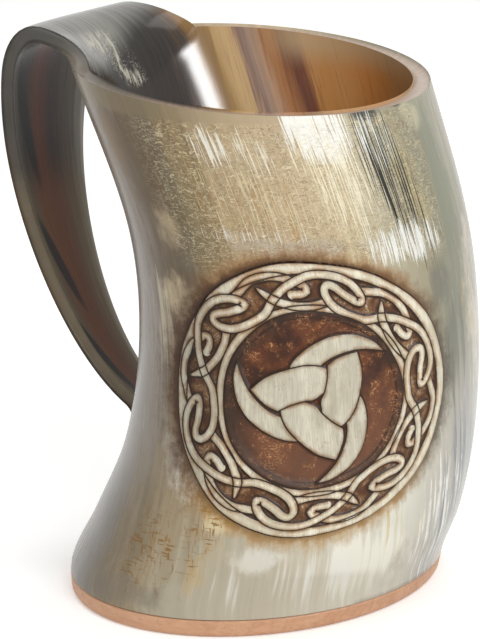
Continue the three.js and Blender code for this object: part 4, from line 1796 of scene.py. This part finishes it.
@dataclass(frozen=True)
class WoodFinish:
    """Oiled reddish tan wood with a fine speckled grain."""

    pale: Colour = "e6b793"
    deep: Colour = "c08a67"
    pore: Colour = "7a4f36"
    grain_bump: float = 0.1 * MM

    def material(self) -> bpy.types.Material:
        """Builds the material on Object coordinates, with the grain along X.

        Returns:
            The material.
        """
        sheet = MaterialSheet("base_wood")
        place = sheet.object_place()
        grain = place.noise((90, 700, 700), detail=6, rough=0.65, warp=0.3)
        rings = place.noise((14, 150, 150))
        pores = place.noise((500, 1900, 1900), detail=2)
        colour = sheet.plain(self.deep).coat(self.pale, grain.span(0.2, 0.8, 0.2, 0.9))
        colour = colour.coat(self.deep, rings.rise(0.45, 0.65), 0.4)
        colour = colour.coat(self.pore, pores.rise(0.60, 0.70), 0.22)
        normal = grain.bump(self.grain_bump, 0.5)
        return sheet.dress(Base_Color=colour, Roughness=grain.vary(0.6, 0.46), Normal=normal, IOR=1.5)


@dataclass(frozen=True)
class SealFinish:
    """Glossy dark poured resin with a few cloudy swirls."""

    deep: Colour = "3d2716"
    amber: Colour = "6b4424"
    ripple_bump: float = 0.3 * MM

    def material(self) -> bpy.types.Material:
        """Builds the material on Object coordinates.

        Returns:
            The material.
        """
        sheet = MaterialSheet("seal")
        place = sheet.object_place()
        swirl = place.noise((45, 45, 45), detail=4, warp=1.2)
        ripple = place.noise((90, 90, 90), detail=1)
        colour = sheet.plain(self.deep).coat(self.amber, swirl.rise(0.4, 0.7))
        normal = ripple.bump(self.ripple_bump, 0.3)
        return sheet.dress(Base_Color=colour, Roughness=swirl.vary(0.10, 0.22), Normal=normal, IOR=1.55)


@dataclass(frozen=True)
class PegFinish:
    """Dark polished hardwood with end grain."""

    dark: Colour = "38271b"
    brown: Colour = "5d432e"
    grain_bump: float = 0.06 * MM

    def material(self) -> bpy.types.Material:
        """Builds the material on Object coordinates.

        Returns:
            The material.
        """
        sheet = MaterialSheet("peg")
        grain = sheet.object_place().noise((500, 1600, 1600), detail=4, rough=0.6)
        colour = sheet.plain(self.dark).coat(self.brown, grain.rise(0.35, 0.68))
        normal = grain.bump(self.grain_bump, 0.5)
        return sheet.dress(Base_Color=colour, Roughness=grain.vary(0.42, 0.30), Normal=normal, IOR=1.5)


# Sub-assemblies


@dataclass
class HornBody:
    """The wall and the strap handle, rolled up from flat sheets of one horn."""

    shape: HornShape
    medallion: Medallion
    near_steps: int = 22
    far_steps: int = 14
    belly_steps: int = 124
    wall_rows: int = 68
    inner_rows: int = 46
    strap_rows: int = 104
    edge_rows: int = 8
    carve_cuts: int = 6
    carve_reach: float = 40.8
    round_size: float = 50.0
    slant: float = 0.25
    slant_high: float = 0.08
    slant_change: float = 62.0
    seam_turn: float = math.radians(135)
    smooth_angle: float = math.radians(75)
    plain_far: float = 30.0

    def __post_init__(self) -> None:
        """Sets the angles of the columns, first across the tongue's root and then round the belly."""
        near, far = self.shape.root_near, self.shape.root_far
        self.root_turns = np.concatenate(
            [np.linspace(-near, 0, self.near_steps + 1), np.linspace(0, far, self.far_steps + 1)[1:]]
        )
        self.belly_turns = np.linspace(far, 2 * math.pi - near, self.belly_steps + 1)
        self.turns = np.concatenate([self.root_turns, self.belly_turns[1:]])

    def build(self) -> Piece:
        """Rolls up the sheets and joins them.

        Returns:
            The horn, one closed mesh.
        """
        sheets = [
            self._outer_wall(), self._inner_wall(), self._strap_sheet("strap_gap_side", 0.0),
            self._strap_sheet("strap_outside", 1.0), self._edge(), self._foot_ring(),
        ]
        horn = join_sheets("horn_carved", sheets)
        bpy.ops.object.shade_smooth_by_angle(angle=self.smooth_angle)
        return horn

    def dress(self, horn: Piece) -> None:
        """Gives the horn its finish and its CAD node."""
        hand_over(horn, HornFinish().material(), "horn_body")

    def _note(self, sheet: Piece, turn: Array, along: Array, strap: Any,
              across: Any, side: Any) -> None:
        """Keeps, for the finish, where each point lies on the horn.

        Args:
            sheet: The sheet.
            turn: Angles round the wall, or across the strap.
            along: Lengths up the wall and on along the strap, in metres.
            strap: Lengths along the strap, 0 on the wall, in metres.
            across: From -1 to 1 across the strap.
            side: 0 on the outer skin, 1 on the inner one, and between them on the rounded edge.
        """
        strap, across, side, _ = np.broadcast_arrays(strap, across, side, turn)
        up = along / MM
        lean = self.slant * up - (self.slant - self.slant_high) * np.maximum(up - self.slant_change, 0.0)
        fibre_turn = turn - lean / self.round_size
        grain = np.stack([np.cos(fibre_turn), np.sin(fibre_turn), up / self.round_size], axis=-1)
        offset = self.medallion.turn - turn
        front = np.stack([
            self.round_size * np.sin(offset), up - self.medallion.height / MM, np.cos(offset)
        ], axis=-1)
        store(sheet, "grain", grain * self.round_size)
        store(sheet, "front", front)
        store(sheet, "skin", np.stack([strap / MM, across, side], axis=-1))
        if "carve" not in sheet.data.attributes:
            off = self.medallion.far_off
            store(sheet, "carve", np.tile((off, -off, self.plain_far), (len(turn), 1)))
            store(sheet, "disc", np.full(len(turn), -self.plain_far))

    def _wall_place(self, flat: Array) -> tuple[Array, Array]:
        """Turns places on a flat wall sheet into places on the wall.

        Args:
            flat: Places on the sheet, in rows.

        Returns:
            Angles and heights.
        """
        columns = len(self.turns) - 1
        turn = np.interp(flat[:, 0] * columns, np.arange(columns + 1), self.turns)
        top = self.shape.wall_top(turn)
        return turn, self.shape.bottom + (top - self.shape.bottom) * flat[:, 1]

    def _on_medallion(self, turn: Array, height: Array) -> Array:
        """Places on the wall as rows right, up from the medallion's centre."""
        near_turn = np.where(turn > self.seam_turn, turn - 2 * math.pi, turn)
        return self.medallion.lay(self.shape, near_turn, height)

    def _outer_wall(self) -> Piece:
        """Rolls the wall's outer skin, cut fine where the medallion is carved, and carves it.

        Returns:
            The skin.
        """
        sheet = flat_sheet("wall_outer", len(self.turns) - 1, self.wall_rows)
        place = self._on_medallion(*self._wall_place(face_centres(sheet)))
        select_faces(sheet, self.medallion.band.polar(place)[0] < self.carve_reach)
        bpy.ops.mesh.subdivide(number_cuts=self.carve_cuts)
        bpy.ops.object.mode_set(mode="OBJECT")
        turn, height = self._wall_place(points_of(sheet))
        points = self.shape.wall_point(turn, height)
        fields = self.medallion.fields(self._on_medallion(turn, height))
        points -= self.shape.wall_out(turn, height) * fields["depth"][:, None] * MM
        place_points(sheet, points)
        store(sheet, "carve", np.stack([fields["line"], fields["ground"], fields["beyond"]], axis=-1))
        store(sheet, "disc", fields["disc"])
        self._note(sheet, turn, height, 0.0, 0.0, 0.0)
        return sheet

    def _inner_wall(self) -> Piece:
        """Rolls the wall's inner skin.

        Returns:
            The skin.
        """
        sheet = flat_sheet("wall_inner", len(self.turns) - 1, self.inner_rows)
        turn, height = self._wall_place(points_of(sheet))
        place_points(sheet, self.shape.wall_point(turn, height, self.shape.wall))
        self._note(sheet, turn, height, 0.0, 0.0, 1.0)
        return sheet

    def _strap_points(self, along: Array, turn: Array, side: float) -> Array:
        """Finds points of one skin of the strap.

        Args:
            along: Lengths along the strap.
            turn: Angles round the root.
            side: 0 for the gap side, 1 for the outside.

        Returns:
            Points, in rows x, y, z.
        """
        points = self.shape.strap_point(along, turn) + side * self.shape.strap_across(along, turn)
        root = self.shape.wall_point(turn, self.shape.wall_top(turn), side * self.shape.wall)
        return np.where((along <= WELD)[:, None], root, points)

    def _strap_sheet(self, name: str, side: float) -> Piece:
        """Rolls one skin of the strap.

        Args:
            name: The skin's name.
            side: 0 for the gap side, 1 for the outside.

        Returns:
            The skin.
        """
        columns = len(self.root_turns) - 1
        sheet = flat_sheet(name, columns, self.strap_rows)
        flat = points_of(sheet)
        turn = np.interp(flat[:, 0] * columns, np.arange(columns + 1), self.root_turns)
        along = flat[:, 1] * self.shape.tip_at
        place_points(sheet, self._strap_points(along, turn, side))
        across = turn / np.where(turn < 0, self.shape.root_near, self.shape.root_far)
        height = self.shape.wall_top(turn) + along
        self._note(sheet, turn, height, along, across, side)
        return sheet

    def _edge(self) -> Piece:
        """Rounds the free edge: the rim, the strap's near edge, its tip and its far edge.

        Returns:
            The edge.
        """
        shape = self.shape
        rows = np.arange(1, self.strap_rows + 1) / self.strap_rows * shape.tip_at
        tip = self.root_turns[1:-1]
        turn = np.concatenate([
            self.belly_turns, np.full(len(rows), -shape.root_near), tip, np.full(len(rows), shape.root_far)
        ])
        along = np.concatenate([
            np.zeros(len(self.belly_turns)), rows, np.full(len(tip), shape.tip_at), rows[::-1]
        ])
        outer, inner = (self._strap_points(along, turn, side) for side in (0.0, 1.0))
        middle, half = (outer + inner) / 2, (outer - inner) / 2
        out = np.cross(half, np.roll(middle, -1, axis=0) - np.roll(middle, 1, axis=0))
        out /= np.linalg.norm(out, axis=1, keepdims=True)
        sheet = flat_sheet("free_edge", len(turn), self.edge_rows)
        flat = points_of(sheet)
        i = np.round(flat[:, 0] * len(turn)).astype(int) % len(turn)
        round_turn = math.pi * np.round(flat[:, 1] * self.edge_rows) / self.edge_rows
        points = middle[i] + half[i] * np.cos(round_turn)[:, None]
        points += out[i] * shape.edge_round * np.sin(round_turn)[:, None]
        place_points(sheet, points)
        across = np.where(along > 0, turn / np.where(turn < 0, shape.root_near, shape.root_far), 0.0)
        height = shape.wall_top(turn) + along
        self._note(sheet, turn[i], height[i], along[i], across[i], round_turn / math.pi)
        return sheet

    def _foot_ring(self) -> Piece:
        """Closes the wall's foot with a flat ring.

        Returns:
            The ring.
        """
        sheet = flat_sheet("foot_ring", len(self.turns) - 1, 1)
        flat = points_of(sheet)
        turn = self._wall_place(flat)[0]
        height = np.full(len(turn), self.shape.bottom)
        place_points(sheet, self.shape.wall_point(turn, height, self.shape.wall * flat[:, 1]))
        self._note(sheet, turn, height, 0.0, 0.0, flat[:, 1])
        return sheet


@dataclass
class OvalStack:
    """A closed solid of stacked ovals that follow the wall, rolled from a sheet and capped."""

    shape: HornShape
    columns: int = 160

    def build(self, name: str, levels: list[tuple[float, float]]) -> Piece:
        """Rolls the sheet and caps its ends.

        Args:
            name: The piece's name.
            levels: Heights and insets from the wall's outer face, from the bottom up.

        Returns:
            The solid.
        """
        stack = flat_sheet(name, self.columns, len(levels) - 1)
        stack.data.name = name
        flat = points_of(stack)
        row = np.round(flat[:, 1] * (len(levels) - 1)).astype(int)
        height, inset = np.array(levels).T
        turn = flat[:, 0] * 2 * math.pi
        place_points(stack, self.shape.wall_point(turn, height[row], inset[row]))
        weld()
        return stack


@dataclass
class WoodBase:
    """The wooden base: a rounded band flush with the wall, and a spigot up into the bore."""

    shape: HornShape
    thick: float = 5 * MM
    edge_round: float = 1.8 * MM
    spigot_height: float = 9 * MM
    round_steps: int = 6
    spigot_round: float = 0.8 * MM
    edge_break: float = 0.35 * MM
    smooth_angle: float = math.radians(35)

    @property
    def top(self) -> float:
        """Height of the spigot's top."""
        return self.thick + self.spigot_height

    def build(self) -> Piece:
        """Stacks the band and the spigot.

        Returns:
            The base.
        """
        levels = []
        for i in range(self.round_steps + 1):
            turn = math.pi / 2 * i / self.round_steps
            levels.append((self.edge_round * (1 - math.cos(turn)), self.edge_round * (1 - math.sin(turn))))
        bore = self.shape.wall + self.shape.fit_gap
        levels += [
            (self.thick - self.edge_break, 0.0), (self.thick, self.edge_break), (self.thick, bore),
            (self.top - self.spigot_round, bore), (self.top, bore + self.spigot_round),
        ]
        base = OvalStack(self.shape).build("wood_base", levels)
        bpy.ops.object.shade_smooth_by_angle(angle=self.smooth_angle)
        return base

    def dress(self, base: Piece) -> None:
        """Gives the base its finish and its CAD node."""
        hand_over(base, WoodFinish().material(), "base_disc")


@dataclass
class SealPour:
    """The seal poured over the spigot, dished where it set."""

    shape: HornShape
    bottom: float = 14.3 * MM
    top: float = 17.3 * MM
    dish_step: float = 3.2 * MM
    dish_depths: Row = (0.2 * MM, 0.14 * MM, 0.09 * MM, 0.05 * MM, 0.02 * MM)
    smooth_angle: float = math.radians(35)

    def build(self) -> Piece:
        """Stacks the seal and sinks its top in rings.

        Returns:
            The seal.
        """
        bore = self.shape.wall + self.shape.fit_gap
        seal = OvalStack(self.shape).build("seal_pour", [(self.bottom, bore), (self.top, bore)])
        select_faces(seal, np.abs(face_centres(seal)[:, 2] - self.top) < WELD)
        for depth in self.dish_depths:
            bpy.ops.mesh.inset(thickness=self.dish_step, depth=-depth)
        bpy.ops.object.mode_set(mode="OBJECT")
        bpy.ops.object.shade_smooth_by_angle(angle=self.smooth_angle)
        return seal

    def dress(self, seal: Piece) -> None:
        """Gives the seal its finish and its CAD node."""
        hand_over(seal, SealFinish().material(), "base_seal")


@dataclass
class FootPegs:
    """The pegs that hold the strap's foot to the wall: one is turned and copied up the foot."""

    shape: HornShape
    radius: float = 1.8 * MM
    head_radius: float = 3 * MM
    head_height: float = 1.6 * MM
    depth: float = 2.6 * MM
    from_tip: float = 3.8 * MM
    spacing: float = 7 * MM
    sides: int = 32
    dome_steps: int = 6
    dome_turn: float = math.radians(80)
    smooth_angle: float = math.radians(40)
    names: tuple[str, ...] = ("peg_lower", "peg_upper")

    def build(self) -> list[Piece]:
        """Turns one peg and sets its copies in the foot.

        Returns:
            The pegs, the lower one first.
        """
        first = self._turn()
        pegs = [first]
        for name in self.names[1:]:
            begin_piece()
            first.select_set(True)
            bpy.context.view_layer.objects.active = first
            bpy.ops.object.duplicate(linked=False)
            pegs.append(bpy.context.object)
        for i, (peg, name) in enumerate(zip(pegs, self.names)):
            peg.name = name
            peg.data.name = name
            peg.data.transform(self._place(i))
        return pegs

    def dress(self, pegs: list[Piece]) -> None:
        """Gives the pegs their finish and their CAD nodes.

        Args:
            pegs: The pegs, the lower one first.
        """
        material = PegFinish().material()
        for i, peg in enumerate(pegs):
            hand_over(peg, material, f"foot_peg_{i + 1}")

    def _turn(self) -> Piece:
        """Shapes a peg along +Z: a straight shank under a domed head.

        Returns:
            The peg.
        """
        seat = self.shape.fit_gap * 2 + self.shape.strap_thick
        begin_piece()
        bpy.ops.mesh.primitive_cylinder_add(
            vertices=self.sides, radius=self.radius, depth=seat + self.depth,
            location=(0, 0, (seat - self.depth) / 2),
        )
        peg = bpy.context.object
        bpy.ops.object.transform_apply(location=True, rotation=False, scale=False)
        select_faces(peg, face_centres(peg)[:, 2] > seat - WELD)
        bpy.ops.mesh.extrude_region_move(TRANSFORM_OT_translate={"value": (0, 0, 0)})
        grow = self.head_radius / self.radius
        bpy.ops.transform.resize(value=(grow, grow, 1))
        for i in range(self.dome_steps):
            turn, after = (self.dome_turn * k / self.dome_steps for k in (i, i + 1))
            lift = self.head_height * (math.sin(after) - math.sin(turn)) / math.sin(self.dome_turn)
            shrink = math.cos(after) / math.cos(turn)
            bpy.ops.mesh.extrude_region_move(TRANSFORM_OT_translate={"value": (0, 0, lift)})
            bpy.ops.transform.resize(value=(shrink, shrink, 1))
        bpy.ops.object.mode_set(mode="OBJECT")
        bpy.ops.object.shade_smooth_by_angle(angle=self.smooth_angle)
        return peg

    def _place(self, index: int) -> Matrix:
        """Finds the place of a peg, pointing straight out of the wall.

        Args:
            index: 0 for the lowest peg.

        Returns:
            The place, as a matrix.
        """
        height = self.shape.foot_end + self.from_tip + index * self.spacing
        up = self.shape.wall_way(height)
        out = Vector((-up[1], 0.0, up[0]))
        turn = out.to_track_quat("Z", "Y").to_matrix().to_4x4()
        return Matrix.Translation((float(self.shape.back.at(height)), 0.0, height)) @ turn


@dataclass(frozen=True)
class Lamp:
    """A soft square lamp that points at the mug, and lights either everything or only its gloss."""

    name: str
    place: Triple
    size: float
    power: float
    gloss_only: bool = False


@dataclass
class Studio:
    """Floor, soft light and the camera at the photograph's viewing angle."""

    azimuth: float = math.radians(36)
    elevation: float = math.radians(15.35)
    distance: float = 1042 * MM
    target: Triple = (-4.17 * MM, -3.03 * MM, 73.47 * MM)
    lens: float = 212.5
    sensor: float = 36.0
    clip: Ends = (0.05, 20.0)
    floor_size: float = 6.0
    floor_colour: Colour = "f4f4f2"
    floor_rough: float = 0.9
    floor_glow: float = 0.36
    white: Colour = "ffffff"
    daylight: float = 0.44
    lamps: tuple[Lamp, ...] = (
        Lamp("key", (0.95, -0.6, 0.9), 0.8, 9.0),
        Lamp("fill", (-0.9, -0.8, 0.6), 0.9, 1.4),
        Lamp("top", (-0.1, 0.3, 1.2), 0.7, 4.0),
        Lamp("glint", (1.0, 0.14, 0.74), 0.22, 9.0, gloss_only=True),
    )

    def build(self) -> None:
        """Sets the floor, the lamps, the world and the camera."""
        self._floor()
        self._world()
        for lamp in self.lamps:
            self._hang(lamp)
        self._camera()

    @staticmethod
    def _seen(sheet: NodeSheet) -> Number:
        """Tells the rays that show the backdrop itself from those that it lights with.

        Args:
            sheet: The nodes to add to.

        Returns:
            1 for the first and 0 for the others.
        """
        path = sheet.add("ShaderNodeLightPath", {}).outputs
        seen = Number(sheet, path["Is Camera Ray"])
        return seen.larger(path["Is Glossy Ray"]).larger(path["Is Transmission Ray"])

    def _floor(self) -> None:
        """Lays a plain pale floor that looks white and keeps the mug's shadow."""
        begin_piece()
        bpy.ops.mesh.primitive_plane_add(size=self.floor_size, location=(0, 0, 0))
        floor = bpy.context.object
        floor.name = "floor"
        sheet = MaterialSheet("floor")
        floor.data.materials.append(sheet.dress(
            Base_Color=self.floor_colour, Roughness=self.floor_rough, Emission_Color=self.white,
            Emission_Strength=self._seen(sheet) * self.floor_glow,
        ))

    def _world(self) -> None:
        """Lights the scene evenly, with a white background."""
        world = bpy.data.worlds.new("studio")
        bpy.context.scene.world = world
        world.use_nodes = True
        sheet = NodeSheet(world.node_tree)
        backdrop = sheet.tree.nodes["Background"].inputs
        sheet.put(backdrop["Strength"], self._seen(sheet).span(0.0, 1.0, self.daylight, 1.0))
        sheet.put(backdrop["Color"], self.white)

    def _hang(self, lamp: Lamp) -> None:
        """Hangs a lamp and points it at the mug.

        Args:
            lamp: The lamp.
        """
        begin_piece()
        bpy.ops.object.light_add(type="AREA", location=lamp.place)
        light = bpy.context.object
        light.name = lamp.name
        light.data.size = lamp.size
        light.data.energy = lamp.power
        light.visible_diffuse = not lamp.gloss_only
        way = Vector(self.target) - Vector(lamp.place)
        light.rotation_euler = way.to_track_quat("-Z", "Y").to_euler()

    def _camera(self) -> None:
        """Puts the camera at the photograph's place."""
        begin_piece()
        back = Vector((
            math.sin(self.azimuth) * math.cos(self.elevation),
            -math.cos(self.azimuth) * math.cos(self.elevation),
            math.sin(self.elevation),
        ))
        bpy.ops.object.camera_add(location=Vector(self.target) + back * self.distance)
        camera = bpy.context.object
        camera.rotation_euler = (-back).to_track_quat("-Z", "Y").to_euler()
        camera.data.lens = self.lens
        camera.data.sensor_width = self.sensor
        camera.data.clip_start, camera.data.clip_end = self.clip
        bpy.context.scene.camera = camera


def main() -> None:
    logging.basicConfig(level=logging.INFO, format="%(message)s")
    bpy.context.scene.view_settings.view_transform = "Standard"
    shape = HornShape()
    horn = HornBody(shape, Medallion())
    horn.dress(horn.build())
    base = WoodBase(shape)
    base.dress(base.build())
    seal = SealPour(shape)
    seal.dress(seal.build())
    pegs = FootPegs(shape)
    pegs.dress(pegs.build())
    Studio().build()


if __name__ == "__main__":
    main()
